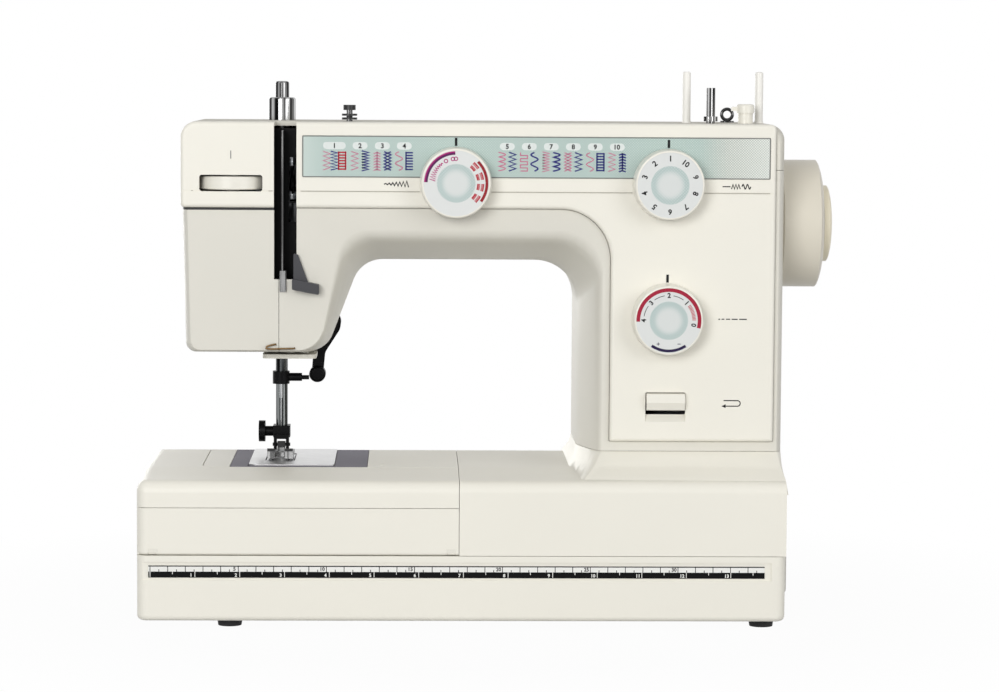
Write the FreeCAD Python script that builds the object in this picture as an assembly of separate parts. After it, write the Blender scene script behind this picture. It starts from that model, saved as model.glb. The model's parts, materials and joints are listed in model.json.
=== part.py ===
import FreeCAD, Part
import math
import os

# A free-arm domestic sewing machine, in millimetres, +Z up, front towards -Y.
# The origin is under the middle of the whole machine, on the surface that it stands on.

V = FreeCAD.Vector

# Overall sizes
BASE_WIDTH = 369.5
BASE_DEPTH = 178.0
FOOT_HEIGHT = 5.0
TRAY_TOP = 42.5
BED_TOP = 88.0
ARM_TOP = 288.0
WHEEL_REACH = 33.5      # how far the clutch knob stands out past the casing's right side

# Fits and walls
GAP = 0.3               # between covers that meet at a seam
RUN = 0.05              # radial clearance of a shaft in its bush
PLAY = 0.5              # room around a piece that moves past another
WALL = 2.5              # casing wall
TRAY_WALL = 3.0

# Plan of the machine, worked out from the overall sizes
LEFT = -(BASE_WIDTH + WHEEL_REACH) / 2
RIGHT = LEFT + BASE_WIDTH
FRONT = -BASE_DEPTH / 2
BACK = BASE_DEPTH / 2

# Head, arm and column
HEAD_LEFT_INSET = 22.9  # head's left side from the base's left side, at the top
HEAD_TAPER = 3.0        # the head's left side leans in this much at its foot
NEEDLE_INSET = 78.5     # needle from the base's left side
PANEL_FRONT = -64.5     # front face of the control panel
CASING_FRONT = -61.0
CASING_BACK = 60.0
HEAD_FOOT = 154.0       # lower face of the head
COLUMN_FOOT = 100.0     # seam between column and bed cover
STRIP_FOOT = ARM_TOP - 48.9         # lower edge of the control strip
ARM_UNDERSIDE = ARM_TOP - 80.1
COLUMN_WIDTH = 117.3    # at the throat
HEAD_WIDTH = 79.8       # at its foot
HEAD_LEAN = 0.38        # the head's right side leans out this much per mm of height
SHAFT_HEIGHT = ARM_TOP - 59.0       # axis of the upper shaft and the handwheel
HEAD_LEFT_CORNER = 6.0
HEAD_RIGHT_CORNER = 15.0
THROAT_LEFT_CORNER = 18.0
THROAT_RIGHT_CORNER = 25.0
TOP_RIGHT_CORNER = 9.0
TOP_LEFT_CORNER = 9.0

HEAD_LEFT = LEFT + HEAD_LEFT_INSET
NEEDLE_X = LEFT + NEEDLE_INSET
COLUMN_LEFT = RIGHT - COLUMN_WIDTH
HEAD_RIGHT = HEAD_LEFT + HEAD_TAPER + HEAD_WIDTH

# Thread slot in the head
SLOT_WIDTH = 12.9
SLOT_OFFSET = 4.7       # slot centre to the right of the needle
SLOT_FOOT = 198.0
SLOT_X = NEEDLE_X + SLOT_OFFSET
SLOT_DEPTH = 24.0
CHANNEL_ROOM = 0.5      # thread channel's inner sides beyond the slot's sides
CHANNEL_WALL = 1.5

# Free arm and extension table
FREE_ARM_DEPTH = 87.0
FREE_ARM_INSET = 34.7   # free arm's left end from the base's left side
TABLE_WIDTH = 183.2
SHOULDER_DROP = 3.2     # bed top falls this much from the free arm to the front edge
REAR_DROP = 10.0        # and this much to the rear edge
BED_EDGE = 7.0          # rounding of the bed's long edges
FREE_ARM_FOOT = 45.0
FREE_ARM_LEFT = LEFT + FREE_ARM_INSET
TABLE_RIGHT = LEFT + TABLE_WIDTH
FREE_ARM_FRONT = -FREE_ARM_DEPTH / 2
FREE_ARM_BACK = FREE_ARM_DEPTH / 2
FLAP_TOP = 70.0

# Control panel
DIAL_RADIUS = 20.5
DIAL_DEPTH = 13.0
DIAL_FACE_RADIUS = 18.6
DIAL_SHAFT_RADIUS = 3.0
DIAL_INSET = 67.5       # right dials from the casing's right side
WIDTH_DIAL_DROP = 34.0
PATTERN_DIAL_DROP = 34.5
LENGTH_DIAL_DROP = 111.5
WIDTH_DIAL = (-21.0, ARM_TOP - WIDTH_DIAL_DROP)
PATTERN_DIAL = (RIGHT - DIAL_INSET, ARM_TOP - PATTERN_DIAL_DROP)
LENGTH_DIAL = (RIGHT - DIAL_INSET, ARM_TOP - LENGTH_DIAL_DROP)
PANEL_LEFT = COLUMN_LEFT + 17.3
PANEL_RIGHT = RIGHT - 5.7
PANEL_END_INSET = 0.8   # panel's left end inside the head's left side
PANEL_FOOT = 105.7
PANEL_DEPTH = 14.0
STRIP_GLASS = (SLOT_X + 9.6, RIGHT - 9.0, ARM_TOP - 31.5, ARM_TOP - 7.5)
REVERSE_X = RIGHT - 68.0
REVERSE_Z = 127.7
REVERSE_WIDTH = 23.0
REVERSE_HEIGHT = 13.0
REVERSE_THICK = 5.6
REVERSE_PROUD = 4.4         # the lever's front edge in front of the panel
REVERSE_PADDLE_GAP = 1.4    # between the panel and the back of the lever's paddle
REVERSE_PADDLE_RISE = 1.6   # paddle's foot above the window's sill
REVERSE_PIN_RADIUS = 2.0
REVERSE_PIVOT = (PANEL_FRONT + 22.0, REVERSE_Z + REVERSE_HEIGHT / 2 - 0.5 - REVERSE_THICK / 2)
TENSION_X = NEEDLE_X - 26.2
TENSION_Z = ARM_TOP - 35.0
TENSION_RADIUS = 20.0
TENSION_THICK = 7.5
TENSION_WINDOW = (36.0, 9.4)

# Needle bar, presser bar and take-up
NEEDLE_BAR_RADIUS = 3.2
NEEDLE_STROKE = 30.0
PRESSER_Y = 11.0
PRESSER_RADIUS = 3.5
PRESSER_SPRING_RADIUS = 5.4      # clears the needle bar's block
SOLE_GAP = 1.2          # presser foot's sole above the needle plate
PLATE_PROUD = 0.5
PLATE_THICK = 2.5

# Shafts and drive
SHAFT_RADIUS = 5.0
LOWER_SHAFT_Y = 22.0
LOWER_SHAFT_Z = 66.0
LOWER_SHAFT_RADIUS = 4.0
GEAR_RADIUS = 9.0
TIMING_UPPER_RADIUS = 16.0
TIMING_LOWER_RADIUS = 8.0
BELT_THICK = 2.0
BELT_WIDTH = 6.0
MOTOR_X = (RIGHT - 86.0, RIGHT - 30.0)
MOTOR_Y = -30.0
MOTOR_Z = 76.0
MOTOR_RADIUS = 24.0
MOTOR_PULLEY_RADIUS = 8.0
MOTOR_SHAFT_RADIUS = 2.5
DRIVE_PULLEY_RADIUS = 32.0

# Covers
TOP_SEAM = ARM_TOP - 26.0   # seam between the top cover and the covers below it
COVER_SPLIT = 0.0       # the front and rear covers meet here
FACE_RIGHT = SLOT_X - 3.8
FACE_BACK = 17.7        # the face cover's rear edge on the head's left side
FACE_HINGE_INSET = 2.6  # hinge axis inside the head's left side
FACE_HINGE_Y = 18.0
KNUCKLE_RADIUS = 2.4
HINGE_PIN_RADIUS = 1.0
KNUCKLES = [(163.0, 175.0), (215.0, 227.0)]
LUGS = [(175.4, 183.0), (207.0, 214.6)]
BAR_OPENING = (14.0, -10.0, 24.0)   # opening in the head's foot: half width, front and back
LIFTER_Y = (36.0, 41.0)
GUARD_X = (NEEDLE_X - 9.0, NEEDLE_X + 22.0)
GUARD_Y = (-46.0, -16.0)
GUARD_THICK = 2.4
GUARD_GAP = 0.4         # room above the guard for the face cover to swing past
FAR = 500.0

# Places on the top of the machine
SPOOL_PINS = [(RIGHT - 53.2, -10.0), (RIGHT - 10.6, -10.0)]
SPOOL_PIN_RADIUS = 2.4
SPOOL_STEM_RADIUS = 2.7
SPOOL_PIN_TOP = ARM_TOP + 30.0
WINDER = (RIGHT - 40.3, -25.0)
WINDER_TRAVEL = 5.0
WINDER_RADIUS = 3.0
SPINDLE_RADIUS = 2.6
SPINDLE_RISE = 20.6
SPINDLE_FLANGE_RADIUS = 4.2
WINDER_STOP = (RIGHT - 20.0, -25.0)
STOP_RADIUS = 4.4
STOP_CAP_RADIUS = 5.2
STOP_LIP = 8.2          # reach of the stop's lip towards the winder
WIRE_GUIDE = (RIGHT - 26.9, 15.0)
WIRE_LOOP_RADIUS = 3.2
WIRE_RADIUS = 1.0
WIRE_SEAT_RADIUS = 4.2
TENSION_STUD = (-82.5, -25.0)
STUD_ROUNDS = [(0, 9.5, 1.8), (1, 2.2, 4.5), (3.2, 4.4, 4.5), (6.5, 9.5, 3.6)]  # stem, two discs and the cap
COLLAR_RADIUS = 8.0
COLLAR_HEIGHT = 13.5
PIN_RADIUS = 4.15
PIN_RISE = 23.0

# Base, flap and the column's foot
RULER = (350.5, 6.8, 33.4)          # length, height and middle height of the printed ruler
FOOT_RADIUS = 7.5
FOOT_SPREAD_X = (52.0, 12.0)        # feet from the base's left and right sides
FOOT_SPREAD_Y = 70.0
FLAP_THICK = 3.0
FLAP_FOOT = TRAY_TOP + 0.4
FLAP_LUG_INSETS = (9.0, 4.2)        # hinge lugs from the table's left and right ends
FLAP_LUG_WIDTH = 4.0
FLAP_LUG_RADIUS = 1.4
FLAP_PIN_RADIUS = 0.8
FOOT_FORWARD = 20.0                 # column foot's spread at the bed: forward and back, to the left,
FOOT_SIDEWAYS = 5.5
FOOT_SQUARING = 0.38                # and how much of the column's rounding it loses
FOOT_HOLLOW = 0.38                  # share of the spread left half way up
FOOT_BELOW = 1.3                    # and reached inside the bed
SCREW_HEAD_RADIUS = 3.5
GUIDE_HOLE = (-62.5, -33.0)         # tapped hole for a cloth guide
GUIDE_HOLE_RADIUS = 1.65

# Feed dog
FEED_ROW = 6.5          # feed teeth rows either side of the needle
FEED_ROW_WIDTH = 3.2
FEED_Y = (-13.0, 17.0)

# Frame and inner drive
BED_PLATE = (46.0, 50.0)
ARM_PLATE = (ARM_UNDERSIDE + 4.1, ARM_UNDERSIDE + 9.1)
POST_X = (RIGHT - 70.0, RIGHT - 22.0)
POST_Y = (2.0, 30.0)
BRACKET_Y = (21.0, 27.0)
LEFT_BEARING = (NEEDLE_X + 25.0, NEEDLE_X + 33.0)
RIGHT_BEARING = (RIGHT - 40.0, RIGHT - 32.0)
LOWER_BEARINGS = [LEFT_BEARING, (RIGHT - 128.0, RIGHT - 120.0)]
BUSH_WALL = 2.5
CRANK_THROW = NEEDLE_STROKE / 2
GATE_PIVOT = (NEEDLE_X - 11.0, SHAFT_HEIGHT + 28.0)
TAKE_UP_PIVOT = (-30.0, SHAFT_HEIGHT + 16.0)
TAKE_UP_ARM = 31.0
TAKE_UP_ANGLE = 40.0    # degrees above level at rest
TAKE_UP_X = SLOT_X + 3.3
LIFTER_PIVOT = (NEEDLE_X + 15.0, HEAD_FOOT + 18.0)
CAM_AXIS = (PATTERN_DIAL[0], SHAFT_HEIGHT + 26.6)
CAM_GEAR_RADIUS = 19.0
WORM_RADIUS = 7.0
TIMING_X = (RIGHT - 106.0, RIGHT - 98.0)
PULLEY_X = (RIGHT - 20.0, RIGHT - 12.0)
LAMP = (NEEDLE_X - 37.0, -4.0)
LAMP_FOOT = HEAD_FOOT + 16.0
LAMP_CAP_HEIGHT = 16.0
WHEEL_RADIUS = 37.5
WHEEL_EDGE = 1.2        # bevel of the rim towards the casing
CLUTCH_RADIUS = 22.4
CLUTCH_DEPTH = 6.0
# Crowned outer faces: how far the radius drops, and how far that lies inside the face
WHEEL_CROWN = [(0, 3.4), (0.9, 2.7), (2.5, 2.1), (4.5, 1.45), (6.8, 0.9), (11.5, 0.3)]
CLUTCH_CROWN = [(0, 2.6), (1.2, 1.9), (4.4, 1.1), (7.7, 0.6), (16.4, 0.1)]
HOOK_RADIUS = 15.0

# Needle and presser foot
NEEDLE_BAR_FOOT = HEAD_FOOT - 20.0
NEEDLE_BAR_TOP = ARM_TOP - 12.5
GATE_LUGS = [(HEAD_FOOT + 6.0, HEAD_FOOT + 14.0), (SHAFT_HEIGHT + 9.0, SHAFT_HEIGHT + 17.0)]
BLOCK_Z = (SHAFT_HEIGHT - 27.0, SHAFT_HEIGHT - 17.0)
NEEDLE_TIP = BED_TOP + 19.0
PRESSER_GUIDE_Z = (HEAD_FOOT + 36.0, HEAD_FOOT + 44.0)
PRESSER_FOOT_Z = BED_TOP + PLATE_PROUD + SOLE_GAP
ANKLE_PIN = (5.0, PRESSER_FOOT_Z + 6.0)
FOOT_WIDTH = 15.0
HOLDER_SCREW_RISE = 7.3     # thumb screw of the foot holder above the foot's pin
FOOT_Y = (-17.0, 15.0)

# Right end and back
SOCKET_Y = (-30.0, 45.0)
SOCKET_Z = (12.0, 68.0)
SOCKET_DEPTH = 7.0
ROCKER = (28.0, 52.0)       # middle of the power switch: y and z
HANDLE_X = 62.0
HANDLE_PIVOT = (CASING_BACK + 5.5, 250.0)
HANDLE_DROP = 30.0


def box(x, y, z):
    """A box between the two ends of each range."""
    return Part.makeBox(x[1] - x[0], y[1] - y[0], z[1] - z[0], V(x[0], y[0], z[0]))


def about(middle, width):
    """The range of a width centred on a place."""
    return (middle - width / 2, middle + width / 2)


def rod(start, end, radius):
    """A round bar between two points."""
    run = V(*end) - V(*start)
    return Part.makeCylinder(radius, run.Length, V(*start), run)


def along_x(x, y, z, radius):
    """A round bar along X."""
    return rod((x[0], y, z), (x[1], y, z), radius)


def along_y(place, y, radius):
    """A round bar along Y at an (x, z) place."""
    return rod((place[0], y[0], place[1]), (place[0], y[1], place[1]), radius)


def ring(start, end, outer, inner):
    """A tube between two points."""
    run = V(*end) - V(*start)
    bore = Part.makeCylinder(inner, run.Length + 2, V(*start) - run * (1 / run.Length), run)
    return rod(start, end, outer).cut(bore)


def fuse(*shapes):
    """Several shapes joined into one, with its faces merged."""
    return shapes[0].multiFuse(list(shapes[1:])).removeSplitter()


def on_plane(axis, level):
    """A function that puts a pair of plane coordinates on the plane across an axis."""
    if axis == "x":
        return lambda u, v: V(level, u, v)
    if axis == "y":
        return lambda u, v: V(u, level, v)
    return lambda u, v: V(u, v, level)


def rounded_wire(corners, axis, level):
    """A closed outline of (u, v, radius) corners: straight sides joined by tangent arcs."""
    place = on_plane(axis, level)
    stops = []
    count = len(corners)
    for i, (u, v, radius) in enumerate(corners):
        here = V(u, v, 0)
        before = V(*corners[i - 1][:2], 0) - here
        after = V(*corners[(i + 1) % count][:2], 0) - here
        before.normalize()
        after.normalize()
        half = before.getAngle(after) / 2
        if radius <= 0:
            stops.append((here, None, here))
            continue
        reach = radius / math.tan(half)
        middle = before + after
        middle.normalize()
        depth = radius / math.sin(half) - radius
        stops.append((here + before * reach, here + middle * depth, here + after * reach))
    edges = []
    for i, (start, middle, end) in enumerate(stops):
        if middle is not None:
            points = [place(p.x, p.y) for p in (start, middle, end)]
            edges.append(Part.Arc(*points).toShape())
        onward = stops[(i + 1) % count][0]
        if (onward - end).Length > 1e-6:
            edges.append(Part.LineSegment(place(end.x, end.y), place(onward.x, onward.y)).toShape())
    return Part.Wire(edges)


def prism(corners, axis, low, high):
    """A rounded outline carried along an axis."""
    face = Part.Face(rounded_wire(corners, axis, low))
    return face.extrude(on_plane(axis, high)(0, 0) - on_plane(axis, low)(0, 0))


def plan_block(x, y, z, radius):
    """A block with rounded upright edges."""
    corners = [(x[0], y[0], radius), (x[1], y[0], radius), (x[1], y[1], radius), (x[0], y[1], radius)]
    return prism(corners, "z", z[0], z[1])


def edges_where(shape, test):
    """The edges of a shape whose bounding box passes a test."""
    return [e for e in shape.Edges if test(e.BoundBox)]


def at_level(axis, level):
    """A test for edges that lie in a plane across an axis."""
    low, high = axis.upper() + "Min", axis.upper() + "Max"
    return lambda b: abs(getattr(b, low) - level) < 1e-4 and abs(getattr(b, high) - level) < 1e-4


def largest(shape):
    """The one solid of a shape that has the most volume."""
    return max(shape.Solids, key=lambda s: s.Volume)


PARTS = {}


def keep(name, shape):
    """Files a finished piece under its name."""
    PARTS[name] = shape


# Casing of head, arm and column

# One row per section, from front to back: place along Y, how far the outer sides are drawn in,
# how far the throat opens past its narrowest (down the arm, along the column, at the head),
# and how far the head's right side leans out per mm of height.
CASING_ROWS = [
    (CASING_FRONT, 3.4, 19.1, 13.5, 3.3, 0.19),
    (CASING_FRONT + 0.8, 2.4, 16.1, 11.8, 2.8, 0.215),
    (CASING_FRONT + 3, 1.1, 13.4, 10.2, 2.3, 0.24),
    (CASING_FRONT + 7.5, 0.2, 10.7, 8.2, 1.7, 0.275),
    (CASING_FRONT + 16, 0.0, 7.1, 5.2, 1.0, 0.32),
    (CASING_FRONT + 27, 0.0, 3.1, 2.0, 0.4, 0.355),
    (CASING_FRONT + 37, 0.0, 0.0, 0.0, 0.0, HEAD_LEAN),
    (CASING_BACK - 24, 0.0, 0.0, 0.0, 0.0, HEAD_LEAN),
    (CASING_BACK - 9, 0.6, 3.0, 2.0, 0.6, HEAD_LEAN),
    (CASING_BACK - 3, 2.4, 7.0, 4.5, 2.4, HEAD_LEAN),
    (CASING_BACK, 6.0, 12.0, 8.0, 6.0, HEAD_LEAN),
]


def inward(y, inset):
    """A place along Y moved towards the middle by the inset."""
    return y + inset if y < 0 else y - inset


def casing_section(row, inset):
    """One section of the casing; the inset moves every wall inwards."""
    y, draw, open_arm, open_column, open_head, lean = row
    left = HEAD_LEFT + inset + draw
    right = RIGHT - inset - draw
    top = ARM_TOP - inset - draw
    foot = HEAD_FOOT + inset + open_head
    head_right = HEAD_RIGHT - inset - open_head
    under = ARM_UNDERSIDE + inset + open_arm
    column = COLUMN_LEFT + inset + open_column
    low = COLUMN_FOOT - (1 if inset else 0)
    corners = [
        (left + HEAD_TAPER, foot, HEAD_LEFT_CORNER - inset),
        (head_right, foot, HEAD_RIGHT_CORNER - inset),
        (head_right + lean * (under - foot), under, THROAT_LEFT_CORNER + inset),
        (column, under, THROAT_RIGHT_CORNER + inset),
        (column, low, 0),
        (right, low, 0),
        (right, top, TOP_RIGHT_CORNER - inset),
        (left, top, TOP_LEFT_CORNER - inset),
    ]
    return rounded_wire(corners, "y", inward(y, inset))


def casing_solid(inset):
    """The whole casing as a filled form."""
    wires = [casing_section(row, inset) for row in CASING_ROWS]
    return Part.makeLoft(wires, True, True)


def panel_outline(grow):
    """The L of the control panel: a strip across the arm and a tall plate down the column."""
    left = HEAD_LEFT + PANEL_END_INSET - grow
    return [
        (left, STRIP_FOOT - grow, 2),
        (PANEL_LEFT - grow, STRIP_FOOT - grow, 29 - grow),
        (PANEL_LEFT - grow, PANEL_FOOT - grow, 1),
        (PANEL_RIGHT + grow, PANEL_FOOT - grow, 1),
        (PANEL_RIGHT + grow, ARM_TOP + grow, 3),
        (left, ARM_TOP + grow, 9),
    ]


def slot_cutter(depth):
    """The space of the thread slot, open upwards."""
    return box(about(SLOT_X, SLOT_WIDTH), (PANEL_FRONT - 20, PANEL_FRONT + depth),
               (SLOT_FOOT, ARM_TOP + 5))


def left_side(z):
    """The head's left side at a height."""
    return HEAD_LEFT + HEAD_TAPER * (ARM_TOP - z) / (ARM_TOP - HEAD_FOOT)


def hinge_point(z):
    """A point of the face cover's hinge axis at a height."""
    return (left_side(z) + FACE_HINGE_INSET, FACE_HINGE_Y, z)


def panel_space():
    """The room that the control panel takes out of the casing."""
    depth = (PANEL_FRONT - 5, PANEL_FRONT + PANEL_DEPTH + GAP)
    above = box((-FAR, PANEL_RIGHT + GAP), depth, (STRIP_FOOT + 20, FAR))
    end = box((-FAR, FACE_RIGHT), depth, (STRIP_FOOT - GAP, FAR))
    return prism(panel_outline(GAP), "y", *depth).multiFuse([above, end])


def top_region(grow):
    """The part of the casing that is the top cover, with its corners over the head and the right end."""
    high = box((-FAR, FAR), (-FAR, FAR), (TOP_SEAM - grow, FAR))
    corner = box((-FAR, FACE_RIGHT - 14 + grow), (-FAR, FAR), (STRIP_FOOT - grow, FAR))
    return high.fuse(corner)


def face_region(grow):
    """The part of the casing that is the face cover."""
    return box((-FAR, FACE_RIGHT + grow), (-FAR, FACE_BACK + grow * 14), (-FAR, STRIP_FOOT - GAP + grow))


def bar_opening():
    """The opening under the head for the needle bar and the presser bar."""
    half, front, back = BAR_OPENING
    return box(about(NEEDLE_X, half * 2), (front, back), (HEAD_FOOT - 5, HEAD_FOOT + 20))


def casing_shell():
    """The hollow casing before it is split into covers."""
    shell = casing_solid(0).cut(casing_solid(WALL))
    return shell.cut(slot_cutter(SLOT_DEPTH)).cut(bar_opening())


def make_covers():
    """Front, rear, top and face covers."""
    shell = casing_shell().cut(panel_space())
    wheel_hole = rod((RIGHT - 20, 0, SHAFT_HEIGHT), (RIGHT + 5, 0, SHAFT_HEIGHT), 13)
    shell = shell.cut(wheel_hole)
    upper = shell.common(top_region(0))
    lower = shell.cut(top_region(GAP))
    face = lower.common(face_region(0))
    rest = lower.cut(face_region(GAP))
    front = rest.common(box((-FAR, FAR), (-FAR, COVER_SPLIT), (-FAR, FAR)))
    rear = rest.common(box((-FAR, FAR), (COVER_SPLIT + GAP, FAR), (-FAR, FAR)))
    lifter_slot = box((HEAD_RIGHT - 16, HEAD_RIGHT + 26), (LIFTER_Y[0] - 2, LIFTER_Y[1] + 2),
                      (HEAD_FOOT - 4, HEAD_FOOT + 44))
    rear = rear.cut(lifter_slot)
    keep("front_cover", fuse(largest(front), guard()))
    keep("rear_cover", with_hinge_lugs(largest(rear)))
    keep("face_cover", with_knuckles(largest(face)))
    keep("top_cover", largest(upper).cut(top_holes()))


def guard():
    """The finger guard under the head, on two posts of the front cover."""
    high = HEAD_FOOT - GUARD_GAP
    plate = plan_block(GUARD_X, GUARD_Y, (high - GUARD_THICK, high), 4)
    posts = []
    for x in (FACE_RIGHT + 6, GUARD_X[1] - 7):
        posts.append(upright((x, sum(GUARD_Y) / 2), (high - 1, HEAD_FOOT + 1.5), 2.5))
    return fuse(plate, *posts)


def with_hinge_lugs(cover):
    """Lugs and the hinge pin for the face cover, moulded on the rear cover."""
    pieces = [cover]
    for low, high in LUGS:
        pieces.append(rod(hinge_point(low), hinge_point(high), KNUCKLE_RADIUS))
        x = hinge_point(low)[0]
        pieces.append(box((x - 0.6, x + KNUCKLE_RADIUS),
                          (FACE_HINGE_Y, FACE_BACK + 8), (low, high)))
    pieces.append(rod(hinge_point(KNUCKLES[0][0]), hinge_point(KNUCKLES[1][1]), HINGE_PIN_RADIUS))
    return fuse(*pieces)


def with_knuckles(cover):
    """Knuckles on the face cover, with room for the lugs."""
    for low, high in LUGS:
        cover = cover.cut(rod(hinge_point(low - GAP), hinge_point(high + GAP), KNUCKLE_RADIUS + GAP))
    pieces = [cover]
    for low, high in KNUCKLES:
        pieces.append(rod(hinge_point(low), hinge_point(high), KNUCKLE_RADIUS))
    cover = fuse(*pieces)
    bore = rod(hinge_point(KNUCKLES[0][0] - 1), hinge_point(KNUCKLES[1][1] + 1), HINGE_PIN_RADIUS + RUN)
    return largest(cover.cut(bore))


def upright(place, z, radius):
    """A round bar standing at a place."""
    return rod((place[0], place[1], z[0]), (place[0], place[1], z[1]), radius)


def top_holes():
    """Openings in the top cover for everything that stands on it."""
    through = (ARM_TOP - 8, ARM_TOP + 3)
    holes = [upright((NEEDLE_X, PRESSER_Y), through, COLLAR_RADIUS + GAP)]
    for place in SPOOL_PINS:
        holes.append(upright(place, through, SPOOL_STEM_RADIUS + RUN))
    reach = WINDER_RADIUS + PLAY
    winder_x = (WINDER[0] - reach, WINDER[0] + WINDER_TRAVEL + reach)
    holes.append(box(winder_x, about(WINDER[1], 2 * reach), through))
    return holes[0].multiFuse(holes[1:])


def window(x, z, width, height, radius):
    """A rounded opening through the control panel."""
    left, right = about(x, width)
    low, high = about(z, height)
    corners = [(left, low, radius), (right, low, radius), (right, high, radius), (left, high, radius)]
    return prism(corners, "y", PANEL_FRONT - 5, PANEL_FRONT + PANEL_DEPTH + 5)


def make_panel():
    """The L-shaped control panel with its openings and the inset glass strip."""
    outer = prism(panel_outline(0), "y", PANEL_FRONT, PANEL_FRONT + PANEL_DEPTH)
    outer = outer.makeFillet(2.2, edges_where(outer, at_level("y", PANEL_FRONT)))
    inner = prism(panel_outline(-WALL), "y", PANEL_FRONT + 3.2, PANEL_FRONT + PANEL_DEPTH + 1)
    panel = outer.cut(inner).cut(slot_cutter(SLOT_DEPTH))
    room = SLOT_WIDTH + 2 * (CHANNEL_ROOM + CHANNEL_WALL + GAP)
    panel = panel.cut(box(about(SLOT_X, room), (PANEL_FRONT + 3.2, FAR), (-FAR, FAR)))
    for x, z in (WIDTH_DIAL, PATTERN_DIAL, LENGTH_DIAL):
        panel = panel.cut(rod((x, PANEL_FRONT - 2, z), (x, PANEL_FRONT + 8, z), DIAL_SHAFT_RADIUS + RUN))
    panel = panel.cut(window(TENSION_X, TENSION_Z, *TENSION_WINDOW, 1.5))
    panel = panel.cut(window(REVERSE_X, REVERSE_Z, REVERSE_WIDTH, REVERSE_HEIGHT, 0.8))
    sill = REVERSE_Z - REVERSE_HEIGHT / 2
    scoop = [
        (PANEL_FRONT - 1, sill - 5.2, 0),
        (PANEL_FRONT + 3, sill - 0.4, 0),
        (PANEL_FRONT + 3, sill + 2, 0),
        (PANEL_FRONT - 1, sill + 2, 0),
    ]
    panel = panel.cut(prism(scoop, "x", *about(REVERSE_X, REVERSE_WIDTH)))
    groove_z = STRIP_FOOT + 9.5
    groove = box((HEAD_LEFT - 5, RIGHT), (PANEL_FRONT - 1, PANEL_FRONT + 0.45), about(groove_z, 0.7))
    panel = panel.cut(groove)
    left, right, low, high = STRIP_GLASS
    corners = [(left, low, 1), (right, low, 1), (right, high, 1), (left, high, 1)]
    panel = panel.cut(prism(corners, "y", PANEL_FRONT - 1, PANEL_FRONT + 1.2))
    inset = [(left + 0.2, low + 0.2, 0.8), (right - 0.2, low + 0.2, 0.8),
             (right - 0.2, high - 0.2, 0.8), (left + 0.2, high - 0.2, 0.8)]
    strip = prism(inset, "y", PANEL_FRONT + 0.2, PANEL_FRONT + 1.2)
    for x, z in (WIDTH_DIAL, PATTERN_DIAL):
        strip = strip.cut(rod((x, PANEL_FRONT - 2, z), (x, PANEL_FRONT + 8, z), DIAL_SHAFT_RADIUS + 1))
    left_piece, right_piece = sorted(panel.Solids, key=lambda s: s.BoundBox.XMin)
    keep("head_panel", left_piece)
    keep("front_panel", right_piece)
    keep("control_strip", largest(strip))


def dial(place):
    """A round control knob with a hollow back, a recessed face and its shaft."""
    x, z = place
    back = PANEL_FRONT - 0.4
    front = back - DIAL_DEPTH
    knob = Part.makeCone(DIAL_RADIUS, DIAL_RADIUS - 0.8, DIAL_DEPTH, V(x, back, z), V(0, -1, 0))
    knob = knob.makeFillet(1.1, edges_where(knob, at_level("y", front)))
    knob = knob.cut(rod((x, front - 1, z), (x, front + 0.25, z), DIAL_FACE_RADIUS))
    knob = knob.cut(rod((x, back + 1, z), (x, back - DIAL_DEPTH + 4, z), DIAL_RADIUS - 3))
    shaft = rod((x, front + 2, z), (x, PANEL_FRONT + 22, z), DIAL_SHAFT_RADIUS)
    cam = rod((x, PANEL_FRONT + 15, z), (x, PANEL_FRONT + 21, z), 9)
    return fuse(knob, shaft, cam)


def make_controls():
    """Dials, tension wheel and reverse lever."""
    keep("width_dial", dial(WIDTH_DIAL))
    keep("pattern_dial", dial(PATTERN_DIAL))
    keep("length_dial", dial(LENGTH_DIAL))
    wheel_y = PANEL_FRONT + TENSION_RADIUS - 1.8
    low, high = about(TENSION_Z, TENSION_THICK)
    wheel = upright((TENSION_X, wheel_y), (low, high), TENSION_RADIUS)
    wheel = wheel.makeFillet(0.8, wheel.Edges[0:1] + wheel.Edges[2:3])
    stem = upright((TENSION_X, wheel_y), (low - 12, high + 9), 4)
    keep("tension_dial", fuse(wheel, stem))
    pivot_y, pivot_z = REVERSE_PIVOT
    top = pivot_z + REVERSE_THICK / 2
    low = pivot_z - REVERSE_THICK / 2
    front = PANEL_FRONT - REVERSE_PROUD
    back = PANEL_FRONT - REVERSE_PADDLE_GAP
    paddle_foot = REVERSE_Z - REVERSE_HEIGHT / 2 + REVERSE_PADDLE_RISE
    bar = [
        (back, paddle_foot, 0.4),
        (back, low, 0),
        (pivot_y, low, 0),
        (pivot_y, top, 0),
        (front + 1, top, 0.8),
        (front, low + 0.4, 0.6),
    ]
    width = about(REVERSE_X, REVERSE_WIDTH - 2 * PLAY)
    lever = prism(bar, "x", *width)
    hub = along_x(width, pivot_y, pivot_z, 2 * REVERSE_PIN_RADIUS)
    bore = along_x((width[0] - 1, width[1] + 1), pivot_y, pivot_z, REVERSE_PIN_RADIUS + RUN)
    keep("reverse_lever", fuse(lever, hub).cut(bore))


# Base, bed and extension table

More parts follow.
